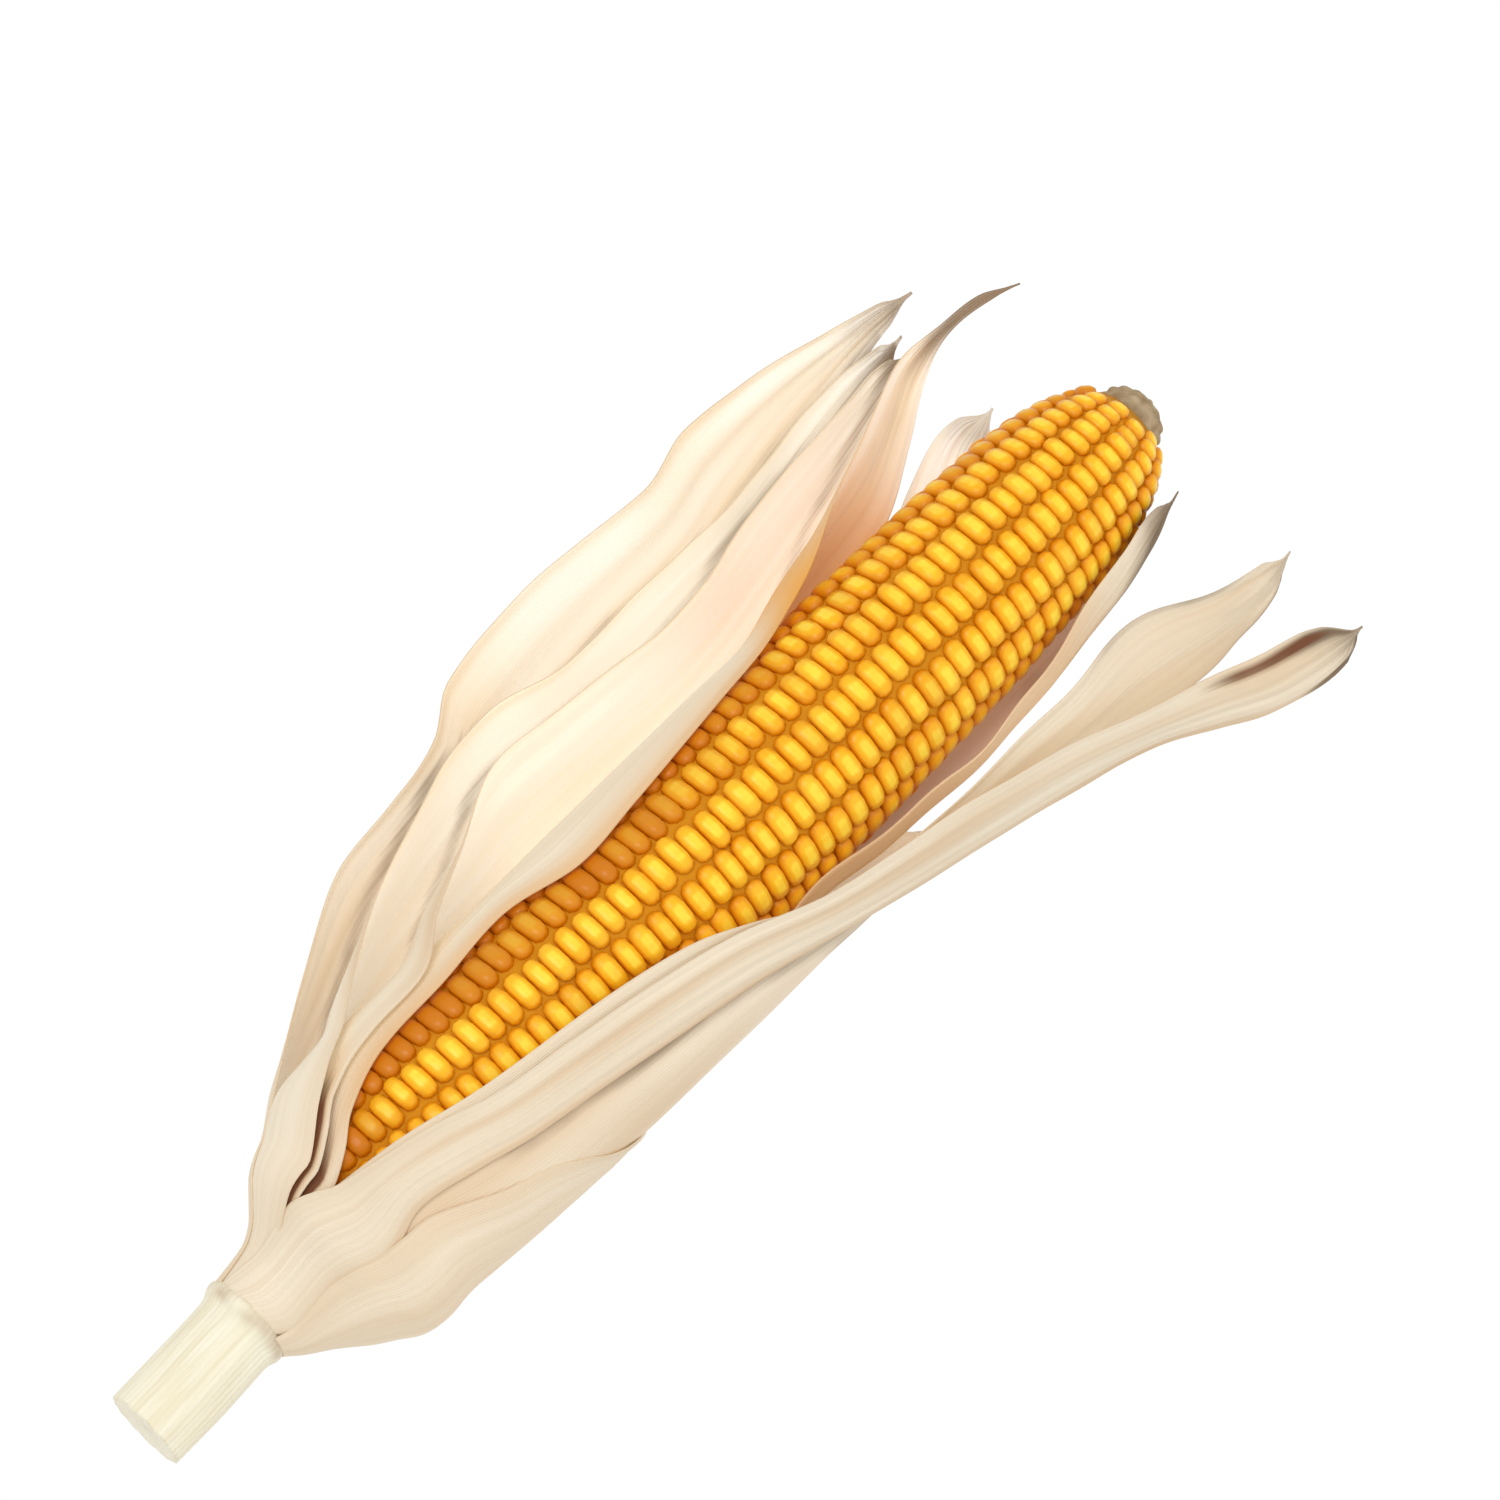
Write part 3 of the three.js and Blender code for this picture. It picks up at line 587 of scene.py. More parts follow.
# %% All the kernels in their rows
ROW_START, ROW_STAGGER, START_SPREAD = 1.2, 2.1, 0.5
GAPS_AT_TIP = 0.35
RISE_SPREAD, SWAY_SPREAD, TURN_SPREAD = 0.14, 0.012, 0.05
TONE_SPREAD, TONE_DRIFT, DRIFT_LENGTH = 0.22, 0.35, 22
# The crown value falls from each kernel's middle, to keep its painted highlight small.
CROWN_FALL = 0.2
random.seed(14)
bm = bmesh.new()
crown_layer = bm.verts.layers.float.new("crown")
tone_and_shade_layer = bm.verts.layers.float.new("tone_and_shade")
kernel_count = 0
for row in range(KERNEL_ROWS):
    distance = ROW_START + (row % 2) * ROW_STAGGER + random.uniform(-START_SPREAD, START_SPREAD)
    while distance < travelled[-1] - 1.0:
        x, radius, slope = on_profile(distance)
        pitch = smooth(KERNEL_PITCH, x)[0] * random.uniform(0.96, 1.04)
        near_tip = ease(212, 232, x)
        if random.random() < GAPS_AT_TIP * ease(224, 236, x):
            distance += pitch
            continue
        rise = random.gauss(0, RISE_SPREAD) - 0.5 * near_tip * random.random()
        wide = math.pi * radius / KERNEL_ROWS * (0.97 - 0.06 * near_tip)
        long = pitch / 2 * random.uniform(0.97, 1.03)
        sway = random.gauss(0, SWAY_SPREAD)
        lean, twist = random.gauss(0, TURN_SPREAD), random.gauss(0, TURN_SPREAD)
        drift = noise.noise(Vector((x / DRIFT_LENGTH, row * 0.8, 3.1)))
        tone_and_shade = random.gauss(0, TONE_SPREAD) + TONE_DRIFT * drift
        middle = row_angle(row + 0.5, x) + sway
        # Painted shade beside the husk is taken off the kernel's tone.
        tone_and_shade -= painted_husk_shade(x, math.degrees(middle) % 360)

        verts_before = len(bm.verts)
        bm.from_mesh(KERNEL_BLOCK)
        bm.verts.ensure_lookup_table()
        for v in bm.verts[verts_before:]:
            across, along, high = v.co
            v[crown_layer] = high - CROWN_FALL * (across * across + along * along)
            v[tone_and_shade_layer] = tone_and_shade
            depth = KERNEL_DEPTH + rise
            along = along * long + lean * (high - 0.5) * depth
            level = radius - KERNEL_DEPTH + high * depth
            across_mm = across * wide * (level / radius) + twist * along
            turn = middle + across_mm / level
            out = level - radius
            shift = along * math.cos(slope) - out * math.sin(slope)
            r = radius + along * math.sin(slope) + out * math.cos(slope)
            v.co = place(x + shift, axis_y(x) + r * math.cos(turn), r * math.sin(turn))
        kernel_count += 1
        distance += pitch
print(kernel_count, "kernels in", KERNEL_ROWS, "rows")

# %% The bed that the kernels sit in
BED_DEPTH = 1.9
BED_START, BED_END = 0.4, 233.5
BORE_RADIUS, BORE_BULGE = 7.6, 1.2
SKIN_SHARE, BORE_SHARE = 0.9, 0.1


def bed_point(u, turn):
    """The sleeve round the cob, from the butt to the tip on the outside and back along the inside."""
    outside = u < SKIN_SHARE
    share = u / SKIN_SHARE if outside else (1 - u) / BORE_SHARE
    x = lerp(BED_START, BED_END, share)
    if outside:
        radius = smooth(EAR_PROFILE, x)[0] - BED_DEPTH
    else:
        radius = BORE_RADIUS + BORE_BULGE * math.sin(math.pi * share)
    angle = turn * 2 * math.pi
    return x, axis_y(x) + radius * math.cos(angle), radius * math.sin(angle)


bed = rolled_grid(100, 56, bed_point)
bed_mesh = bpy.data.meshes.new("bed")
bed.to_mesh(bed_mesh)
bed.free()
faces_before = len(bm.faces)
bm.from_mesh(bed_mesh)
bm.faces.ensure_lookup_table()
for face in bm.faces[faces_before:]:
    face.material_index = 1
finish_piece("ear_kernels", bm, [KERNEL_SKIN, KERNEL_BED], "kernels", "kernel")

# %% [markdown]
# ## The cob
#
# Where no kernels grew, the bare tip of the cob shows: a blunt grey cone covered with small empty cups in
# spiral rows. The cone is a rolled-up grid. The cups are raised from its surface by a formula.

# %% The cob and its finish
CHAFF_LIGHT, CHAFF_DARK, CHAFF_PALE = (0.44, 0.31, 0.16), (0.19, 0.12, 0.065), (0.52, 0.41, 0.26)


def cob_material():
    """Rough grey-brown chaff with paler patches."""
    material, tree, shader = new_material("cob_chaff", roughness=0.85, specular=0.2)
    where = add_node(tree, "TexCoord")
    mottling = use_group(tree, MOTTLING, where.outputs["Object"], Size=500.0)
    pale = add_node(tree, "Attribute", attribute_name="pale")
    color = mix_colors(tree, mottling.outputs["Blotches"], CHAFF_LIGHT, CHAFF_DARK)
    color = mix_colors(tree, math_node(tree, "MULTIPLY", pale.outputs["Fac"], 0.6), color, CHAFF_PALE)
    tree.links.new(color, shader.inputs["Base Color"])
    add_bump(tree, shader, mottling.outputs["Blotches"], strength=0.8, depth=0.0005)
    return material


# The cob under the kernels and at its bare tip: (x, radius).
COB_PROFILE = [
    (0.6, 6.6), (15, 10.2), (60, 11.8), (150, 11.8), (200, 10.2), (226, 8), (235, 7.5), (237.5, 6.8),
    (239, 5.5), (240, 4), (240.8, 2.2), (241, 0.01),
]
COB_START, COB_END, BARE_FROM = 0.6, 241, 200
HIDDEN_SHARE, BARE_SHARE = 0.2, 0.8
CUP_ROWS, CUP_PITCH = 14, 2.6
CUP_RISE, CUP_SINK = 0.75, 0.2


def cob_point(u, turn):
    """From the butt end through the ear, with few rings, and over the bare tip, with most of them."""
    if u < HIDDEN_SHARE:
        x = lerp(COB_START, BARE_FROM, u / HIDDEN_SHARE)
    else:
        x = lerp(BARE_FROM, COB_END, 1 - (1 - (u - HIDDEN_SHARE) / BARE_SHARE) ** 1.5)
    radius = smooth(COB_PROFILE, x)[0] if u > 0 else 0.01
    angle = turn * 2 * math.pi
    row = turn * CUP_ROWS
    step = x / CUP_PITCH + (math.floor(row) % 2) * 0.5
    cup = math.sin(math.pi * (row % 1)) * math.sin(math.pi * (step % 1))
    radius += ease(222, 230, x) * ease(0, 4, radius) * (CUP_RISE * cup - CUP_SINK)
    return x, axis_y(x) + radius * math.cos(angle), radius * math.sin(angle)


cob = rolled_grid(130, 112, cob_point)
pale_layer = cob.verts.layers.float.new("pale")
for v in cob.verts:
    spot = v.co / MM
    v[pale_layer] = 0.5 + noise.noise(spot * 0.5)
finish_piece("bare_cob", cob, [cob_material()], "cob", "cob")

# %% [markdown]
# ## The stalk
#
# The stalk is a short dry stem with shallow ribs. A swollen ring marks the node from which the husk grows,
# and its far end is cut square, so the pith shows.


# %% The finish of the stalk
def stalk_material():
    """Pale ribbed skin with a browner ring and pale pith at the cut."""
    material, tree, shader = new_material("stalk_skin", roughness=0.55, specular=0.3)
    uv = add_node(tree, "UVMap", uv_map="leaf")
    streaks = use_group(tree, STREAKS, uv.outputs[0], Veins=46.0, Wander=1.2)
    pith = add_node(tree, "Attribute", attribute_name="pith")
    ring = add_node(tree, "Attribute", attribute_name="ring")
    share = ramp(tree, streaks.outputs["Streaks"], [(0.35, 0.0), (0.65, 1.0)])
    color = mix_colors(tree, share, (0.88, 0.83, 0.67), (0.80, 0.73, 0.54))
    bands = math_node(tree, "MULTIPLY", streaks.outputs["Bands"], 0.35)
    color = mix_colors(tree, bands, color, (0.74, 0.66, 0.43))
    color = mix_colors(tree, ring.outputs["Fac"], color, (0.58, 0.47, 0.33))
    color = mix_colors(tree, pith.outputs["Fac"], color, (0.88, 0.82, 0.66))
    tree.links.new(color, shader.inputs["Base Color"])
    add_bump(tree, shader, streaks.outputs["Veins"], strength=0.4, depth=0.0005)
    return material


STALK_SKIN = stalk_material()
print("stalk material:", STALK_SKIN.name)

# %% The form of the stalk
# The middle of the stalk, (x, y, z), and its radius, (x, radius).
STALK_LINE = [(-44, -3, -11.6), (-30, -3, -10), (-17, -2.7, -7.6), (-8, -1.8, -4.6), (-0.4, -0.6, -1.2)]
STALK_PROFILE = [
    (-44, 8.5), (-32, 8.6), (-21, 8.5), (-19.5, 8.7), (-18.2, 9.3), (-17, 9.5), (-15.8, 9.1), (-14.8, 7),
    (-13.5, 5.2), (-0.4, 5.2),
]
CUT_SHARE, BUTT_SHARE = 0.16, 0.95
STALK_BUTT = -0.4
CUT_BEVEL, CUT_HOLLOW, PITH_ROUGHNESS = 0.2, 0.9, 0.35
RIBS, FINE_RIBS = 9, 26
RIB_HEIGHT, FINE_RIB_HEIGHT = 0.12, 0.05


def stalk_point(u, turn):
    """From the middle of the cut end out to its rim, along the skin, and in to the butt of the ear."""
    angle = turn * 2 * math.pi
    rib = RIB_HEIGHT * math.sin(RIBS * angle) + FINE_RIB_HEIGHT * math.sin(FINE_RIBS * angle + 1)
    if u < CUT_SHARE:
        share = u / CUT_SHARE
        spot = Vector((4 * share * math.cos(angle), 4 * share * math.sin(angle), 2))
        x = STALK_END + CUT_HOLLOW * (1 - share) + PITH_ROUGHNESS * noise.noise(spot)
        radius = share * (STALK_PROFILE[0][1] - CUT_BEVEL)
    elif u < BUTT_SHARE:
        x = lerp(STALK_END, STALK_BUTT, (u - CUT_SHARE) / (BUTT_SHARE - CUT_SHARE))
        radius = smooth(STALK_PROFILE, x)[0] + rib
    else:
        x = STALK_BUTT
        radius = STALK_PROFILE[-1][1] * (1 - u) / (1 - BUTT_SHARE)
    y, z = smooth(STALK_LINE, x)
    return x, y + radius * math.cos(angle), z + radius * math.sin(angle)


stalk = bmesh.new()
bmesh.ops.create_grid(stalk, x_segments=110, y_segments=96, size=0.5)
stalk_uv = stalk.loops.layers.uv.new("leaf")
pith_layer = stalk.verts.layers.float.new("pith")
ring_layer = stalk.verts.layers.float.new("ring")
for face in stalk.faces:
    for loop in face.loops:
        loop[stalk_uv].uv = (loop.vert.co.y + 0.5, loop.vert.co.x + 0.5)
for v in stalk.verts:
    u = v.co.x + 0.5
    v[pith_layer] = 1 - ease(CUT_SHARE * 0.8, CUT_SHARE, u)
    x, y, z = stalk_point(u, v.co.y + 0.5)
    blotch = 0.5 + noise.noise(Vector((x / 3, y / 4, z / 4)))
    v[ring_layer] = 0.9 * blotch * ease(-19.5, -17.5, x)
    v.co = place(x, y, z)
bmesh.ops.remove_doubles(stalk, verts=stalk.verts, dist=WELD)
bmesh.ops.recalc_face_normals(stalk, faces=stalk.faces)
finish_piece("cut_stalk", stalk, [STALK_SKIN], "stalk", "stalk")

# %% [markdown]
# ## The husk leaves
#
# A husk leaf is a thin sheet that kept the curve of the ear it was wrapped around. Each cross-section is an
# arc between its two edges, which are given at a few stations along the ear: [x, y1, z1, y2, z2, bulge]. A
# grid is bent to that form, and a formula adds the folds, long ridges and waved edges. The sheet gets its
# thickness from a Solidify modifier, thinner at its edges, which also gives its inner side its own finish.

# %% Where the leaves wrap the stalk
# The middle of the layers, the radius of the first layer and the step to the next: (x, y, z, radius, step).
SHEATH = [
    (-17, -2.7, -7.6, 7.4, 0.5), (-12, -2.3, -5.9, 7.2, 0.5), (-8, -1.8, -4.6, 7.1, 0.5),
    (-5, -1.3, -3.2, 7.7, 0.55), (-3, -0.9, -2.2, 8.7, 0.6), (-1, -0.4, -1.1, 10.2, 0.6),
    (1, 0, -0.3, 11.9, 0.6), (4.5, 0, 0, 14.2, 0.55), (8, 0, 0, 15.9, 0.5),
]
ROOT_AT, FOOT_END = -16.6, 8
FOOT_STATIONS = 9


def arc(x, radius, start, end, y=None, z=0):
    """A station on a circle about the ear, between two angles."""
    y = axis_y(x) if y is None else y
    a, b = math.radians(start), math.radians(end)
    first = (y + radius * math.cos(a), z + radius * math.sin(a))
    second = (y + radius * math.cos(b), z + radius * math.sin(b))
    return (x, *first, *second, math.tan((a - b) / 4))


def wrap(x, layer, start, end):
    """A station of a leaf that is wrapped round the stalk, in this layer from the inside."""
    y, z, radius, step = smooth(SHEATH, x)
    return arc(x, radius + (layer - 1) * step, start, end, y, z)


def foot(layer, start, end):
    """The stations of a leaf's foot, from its root in the stalk's ring to the butt of the ear."""
    places = [i / (FOOT_STATIONS - 1) for i in range(FOOT_STATIONS)]
    return [wrap(lerp(ROOT_AT, FOOT_END, u), layer, lerp(*start, u), lerp(*end, u)) for u in places]


print("a leaf's foot has", len(foot(1, (100, 102), (-40, -35))), "stations")

# %% [markdown]
# ## What each leaf's entry says
#
# "stations" are the cross-sections. "loose" is the edge that came away (-1 the first, 1 the second), and
# "free" is the stretch of the ear over which it does. There, "folds" (height, count) and "waves" (height,
# length, phase) bend it, and "lift" (height, from, to) raises its first edge in a soft ridge. The rest is
# colour. "withers" (share of the length, strength) says where the dry tip begins. The tan bands, "scorched"
# and "burnt" are bands (place across, width, from, to, amount) of tan, grey-brown and red-brown; the tan
# ones are stains, and painted shade along the creases under the next leaf. The slot entry (place across,
# from, to) is red-brown painted shade beyond that place, with a brown stain. "under" names the leaf whose
# first edge shades this one. The kernels' entry (amount, from, to) is painted orange light bounced from
# them, and "lit" (everywhere, at the first edge, from) makes a leaf glow more.

# %% The stations of the slack leaf in front
FRONT = [
    wrap(ROOT_AT, 3, -124, -214), (-13, -4.9, -16.4, -9, -2.9, 0.9), (-8, -6.5, -18.6, -8.9, -0.3, 0.98),
    (-3, -8.5, -21, -9.6, 3.4, 0.98), (1, -10, -22.4, -11.7, 7, 0.9), (5, -11.4, -23, -13.7, 9.2, 0.9),
    (10, -12, -23.2, -14.2, 13.2, 0.85), (16, -13, -23, -13.8, 16.6, 0.78),
    (30, -12, -23.3, -17.5, 17.3, 0.76), (50, -12.5, -23.3, -20.2, 16, 0.74),
    (75, -13, -23.3, -23, 14, 0.71), (95, -13.5, -23.3, -25.2, 10.8, 0.68),
    (115, -14, -23.3, -29.2, 3, 0.6), (128, -15, -23.3, -30.8, -2, 0.5),
    (140, -18, -23.3, -31.5, -10, 0.3), (150, -22, -23.2, -29, -19.5, 0.1),
]
print("the slack leaf has", len(FRONT), "stations")


# %% A station that lies over another leaf
def spot_over(stations, x, gap, t):
    """The point (y, z) that lies this far over another leaf, at its place t from -1 to 1 across it."""
    y1, z1, y2, z2, bulge = smooth(stations, x)
    half = math.hypot(y2 - y1, z2 - z1) / 2
    dy, dz = (y2 - y1) / (2 * half), (z2 - z1) / (2 * half)
    bend = 2 * math.atan(bulge)
    radius = half / math.sin(bend)
    out = (radius + gap) * math.cos(t * bend) - radius * math.cos(bend)
    side = (radius + gap) * math.sin(t * bend)
    return (y1 + y2) / 2 + dy * side - dz * out, (z1 + z2) / 2 + dz * side + dy * out


def over(stations, x, gap, start, end):
    """A station that lies over another leaf, this far from it, between two of its places across it."""
    bend = 2 * math.atan(smooth(stations, x)[4])
    first, second = spot_over(stations, x, gap, start), spot_over(stations, x, gap, end)
    return (x, *first, *second, math.tan((end - start) * bend / 4))


def drape(x, gap, t, layer, end, bulge):
    """A station from a place over the slack leaf in front up to an angle on the stalk's own layers."""
    y, z, radius, step = smooth(SHEATH, x)
    angle = math.radians(end)
    radius += (layer - 1) * step
    second = (y + radius * math.cos(angle), z + radius * math.sin(angle))
    return (x, *spot_over(FRONT, x, gap, t), *second, bulge)


above = spot_over(FRONT, 30, 1, 0)
print("1 mm over the middle of the slack leaf:", tuple(round(c, 1) for c in above))

# %% The stations of the leaves on the left
LEAVES = {
    "husk_left_inner": {
        "stations": [
            *foot(1, (100, 102), (-40, -35)),
            arc(14, 18.9, 91, -34), arc(20, 19.8, 78, -34), arc(32, 21, 65, -34), arc(50, 21.8, 61, -35),
            arc(68, 22.4, 56, -36), arc(84, 22.7, 68, -36), arc(100, 22.8, 64, -36),
            arc(128, 22.9, 54, -36), arc(144, 22.9, 47, -34), (160, 19.5, 14.5, 20, -13, 0.45),
            (176, 26.5, 12.5, 22, -13, 0.3), (190, 33, 11, 24.5, -11.5, 0.22),
            (205, 38.5, 9.5, 32, -8.5, 0.22), (215, 41, 7, 37.5, -3, 0.3), (224, 41.5, 4.5, 40, 0.8, 0.3),
            (234, 40.5, 4.4, 39.4, 1.8, 0.2), (242, 36.5, 5.5, 35.6, 3.8, 0.2),
        ],
        "loose": -1, "folds": (0.25, 2), "waves": (0.5, 34, 0.4), "free": (140, 190),
        "withers": (0.91, 1), "stains_and_shade": [(-1, 0.22, 16, 150, 0.45), (0, 1, 165, 225, 0.8)],
        "scorched": [(0.1, 0.7, 182, 222, 0.38)], "slot_shade_and_stain": (-0.88, 2, 22), "kernel_bounce_light": (1, 136, 208),
        "lit": (0.35, 0.5, 10),
    },
    "husk_left_fold": {
        "stations": [
            *foot(2, (88, 89), (-58, -58)),
            arc(14, 20.1, 80, -54), arc(20, 21.3, 67, -52), arc(27, 22.1, 58, -50),
            arc(35, 22.7, 54, -48), arc(50, 23.5, 50, -46), (61, 22, 14.5, 17.6, -20, 0.42),
            (76, 29.5, 11.5, 18, -21.4, 0.36), (89, 36, 9, 18, -21.7, 0.34),
            (101, 38, 7.6, 18, -21.7, 0.34), (134, 35.2, 4.5, 19.5, -21.6, 0.36),
            (160, 39, 3, 23, -20.5, 0.34), (185, 42.5, 4, 28.5, -16.5, 0.3), (205, 44, 3, 36, -10, 0.25),
            (218, 44.5, 0, 42.8, -3, 0.2),
        ],
        "loose": -1, "folds": (0.6, 2), "waves": (0.8, 42, 1.3), "free": (50, 100), "lift": (2.2, 4, 24),
        "withers": (0.965, 0.6), "stains_and_shade": [(-0.7, 0.35, 50, 110, 0.2)], "slot_shade_and_stain": (-0.95, -3, 30),
        "under": "husk_left_inner", "lit": (0.6, 0.7, 50),
    },
    "husk_left_middle": {
        "stations": [
            *foot(3, (84, 83), (-76, -70)),
            arc(16, 21.6, 70, -64), arc(24, 22.9, 57, -58), arc(30, 24.0, 44, -54),
            (36, 21.6, 13.6, 17.4, -21, 0.42), (47, 29.4, 9.4, 19.6, -22.2, 0.36),
            (60, 36.8, 7, 21, -23, 0.33), (80, 44.4, 4.5, 22.5, -23.1, 0.3),
            (100, 48, 3, 23, -23.2, 0.28), (120, 45.5, 1, 24, -23.2, 0.28), (150, 46, 0, 28, -22.6, 0.26),
            (180, 48, -1, 34, -20, 0.24), (205, 50, 0, 42.5, -12, 0.2),
            (220, 48.8, -1.5, 47.2, -4.5, 0.2),
        ],
        "loose": -1, "folds": (0.7, 2), "waves": (1, 50, 2.6), "free": (40, 90), "lift": (3, 0, 34),
        "withers": (0.955, 0.6), "stains_and_shade": [(-0.9, 0.2, 40, 120, 0.3)], "under": "husk_left_fold",
        "lit": (0.4, 1.0, 40),
    },
    "husk_left_outer": {
        "stations": [
            *foot(4, (40, 20), (-92, -78)),
            (18, 23.0, 4, 13.5, -23.2, 0.42), (36, 35.4, -1, 21.5, -23.3, 0.28),
            (58, 48, -5, 27, -23.3, 0.24), (75, 51.5, -6, 29, -23.3, 0.24),
            (92, 55, -6.5, 30, -23.3, 0.22), (103, 62, -7, 31, -23.3, 0.2),
            (128, 66, -8, 35, -23.3, 0.18), (160, 64, -8, 40, -23.3, 0.16),
            (176, 67.5, -8, 44, -22.6, 0.16), (200, 64, -7, 51, -19.5, 0.15),
            (218, 59, -5, 54, -12, 0.15), (230, 55, -4, 53.6, -6.5, 0.1),
        ],
        "loose": -1, "folds": (0.7, 3), "waves": (1.2, 46, 0.2), "free": (30, 90),
        "withers": (0.93, 0.6), "stains_and_shade": [(-0.5, 0.22, 30, 110, 0.45), (0.1, 1.2, 20, 240, 0.55)],
        "under": "husk_left_middle",
    },
}
print(len(LEAVES), "leaves on the left")

# %% The stations of the leaf underneath and of those on the right
LEAVES.update({
    "husk_under": {
        "stations": [
            *foot(2, (-70, -76), (-128, -122)),
            arc(20, 21.5, -62, -120), arc(40, 23.8, -58, -117), arc(52, 24, -54, -115),
            arc(75, 24.2, -38, -113), arc(120, 24.2, -34, -112), arc(150, 24.2, -40, -111),
            (168, 17, -19.5, -8, -23.2, 0.22), (185, 22, -19.5, -4, -23.3, 0.14),
            (202, 29, -19, 7, -23.3, 0.14), (216, 33, -18.6, 20, -22.8, 0.14),
            (228, 31, -20, 28, -21.4, 0.1),
        ],
        "loose": -1, "folds": (0, 1), "waves": (0.4, 30, 0), "free": (190, 215),
        "withers": (0.93, 0.6),
    },
    "husk_right_inner": {
        "stations": [
            *foot(1, (-150, -112), (-228, -205)),
            arc(20, 20.2, -111, -197), arc(60, 22.4, -112, -187), arc(100, 22.9, -112, -184),
            (118, -10, -21.3, -23, 3, 0.38), (135, -10.2, -21.4, -25, 1.5, 0.42),
            (148, -10.2, -21.3, -25.8, 1.5, 0.44), (162, -10.4, -21.1, -26.4, 0.5, 0.45),
            (175, -10.6, -20.6, -25.4, 0.8, 0.46), (187, -11, -19.8, -23.3, 1.5, 0.5),
            (204, -12.6, -16.6, -20.6, 5.4, 0.5), (216, -14, -12.4, -18.4, 5.4, 0.5),
            (224, -15.4, -6.6, -17.4, 2.8, 0.45), (230.5, -16.2, -2.2, -16.6, 0.2, 0.3),
        ],
        "loose": 1, "folds": (0.2, 2), "waves": (0.3, 26, 0.9), "free": (110, 150),
        "withers": (0.935, 0.9), "stains_and_shade": [(-0.6, 0.4, 100, 220, 0.4)],
        "scorched": [(0, 0.5, 178, 236, 0.75)], "kernel_bounce_light": (0.4, 90, 210),
    },
    "husk_right_middle": {
        "stations": [
            *foot(2, (-165, -156), (-268, -258)),
            arc(22, 21.4, -156, -253), arc(40, 22.9, -155, -244), arc(70, 24, -153, -235),
            arc(88, 24.5, -152, -225.5), arc(100, 24.9, -150, -212), arc(109, 25.6, -150, -199),
            arc(124, 27.4, -150, -186), (142, -28.8, -13, -29.8, 0, 0.2),
            (160, -31.4, -18, -30, -1.5, 0.24), (180, -35.2, -20.5, -29.8, -2, 0.26),
            (197, -39.5, -20.5, -28.4, -2.5, 0.26), (207, -42, -20, -29.6, -3.4, 0.25),
            (220, -42.5, -18.5, -34.8, -6, 0.22), (232, -42, -16.5, -37.5, -8, 0.2),
            (240, -39.8, -12.2, -38.4, -9.5, 0.1),
        ],
        "loose": 1, "folds": (0.3, 2), "waves": (0.5, 36, 0.6), "free": (130, 190),
        "withers": (0.95, 0.45), "stains_and_shade": [(-0.7, 0.3, 150, 240, 0.4)],
        "scorched": [(-0.97, 0.12, 150, 238, 0.5), (0.97, 0.12, 188, 228, 0.6)],
    },
    "husk_right_outer": {
        "stations": [
            wrap(ROOT_AT, 4, -219, -318), drape(-13, 0.55, 0.72, 4, 51, 0.48),
            drape(-8, 0.55, 0.72, 4, 63, 0.34), drape(-3, 0.55, 0.78, 4, 75, 0.23),
            drape(1, 0.55, 0.8, 4, 85, 0.19), drape(5, 0.55, 0.8, 4, 95, 0.14),
            drape(8, 0.6, 0.81, 4, 102, 0.13), (16, -17.7, 16.0, -7.0, 21.1, 0.16),
            (28, -20.3, 16.7, -9.9, 21.7, 0.15), (40, -22.9, 15.3, -13.7, 21.3, 0.15),
            (56, -25.1, 13.6, -16.2, 20.5, 0.15), (75, -27.7, 10.8, -18.9, 18.6, 0.16),
            (95, -30.2, 7, -22.6, 15.4, 0.17), (115, -33.2, 1, -28, 9.5, 0.2),
            (134, -36, -4.5, -31, 6.5, 0.22), (152, -38.2, -9.7, -33.4, 3, 0.22),
            (172, -42, -13, -37.2, -2, 0.22), (191, -46, -17, -42.2, -6, 0.24),
            (205, -52, -20.6, -46.5, -7.5, 0.28), (215, -57.2, -21.8, -49.6, -8.3, 0.34),
            (227, -60.4, -22, -52.2, -10.8, 0.38), (235, -61, -20.3, -55.6, -14, 0.3),
            (240, -59.8, -18.6, -58, -16.4, 0.1),
        ],
        "loose": 1, "folds": (0.2, 2), "waves": (0.6, 32, 1.9), "free": (120, 200),
        "withers": (0.94, 0.6), "stains_and_shade": [(-1, 0.4, -10, 240, 0.6), (0.4, 0.3, 20, 200, 0.3)],
        "scorched": [(-0.9, 0.16, 222, 240, 0.6)], "burnt": [(0.72, 0.2, 206, 234, 0.75)],
    },
})
print(len(LEAVES), "leaves with those on the right")

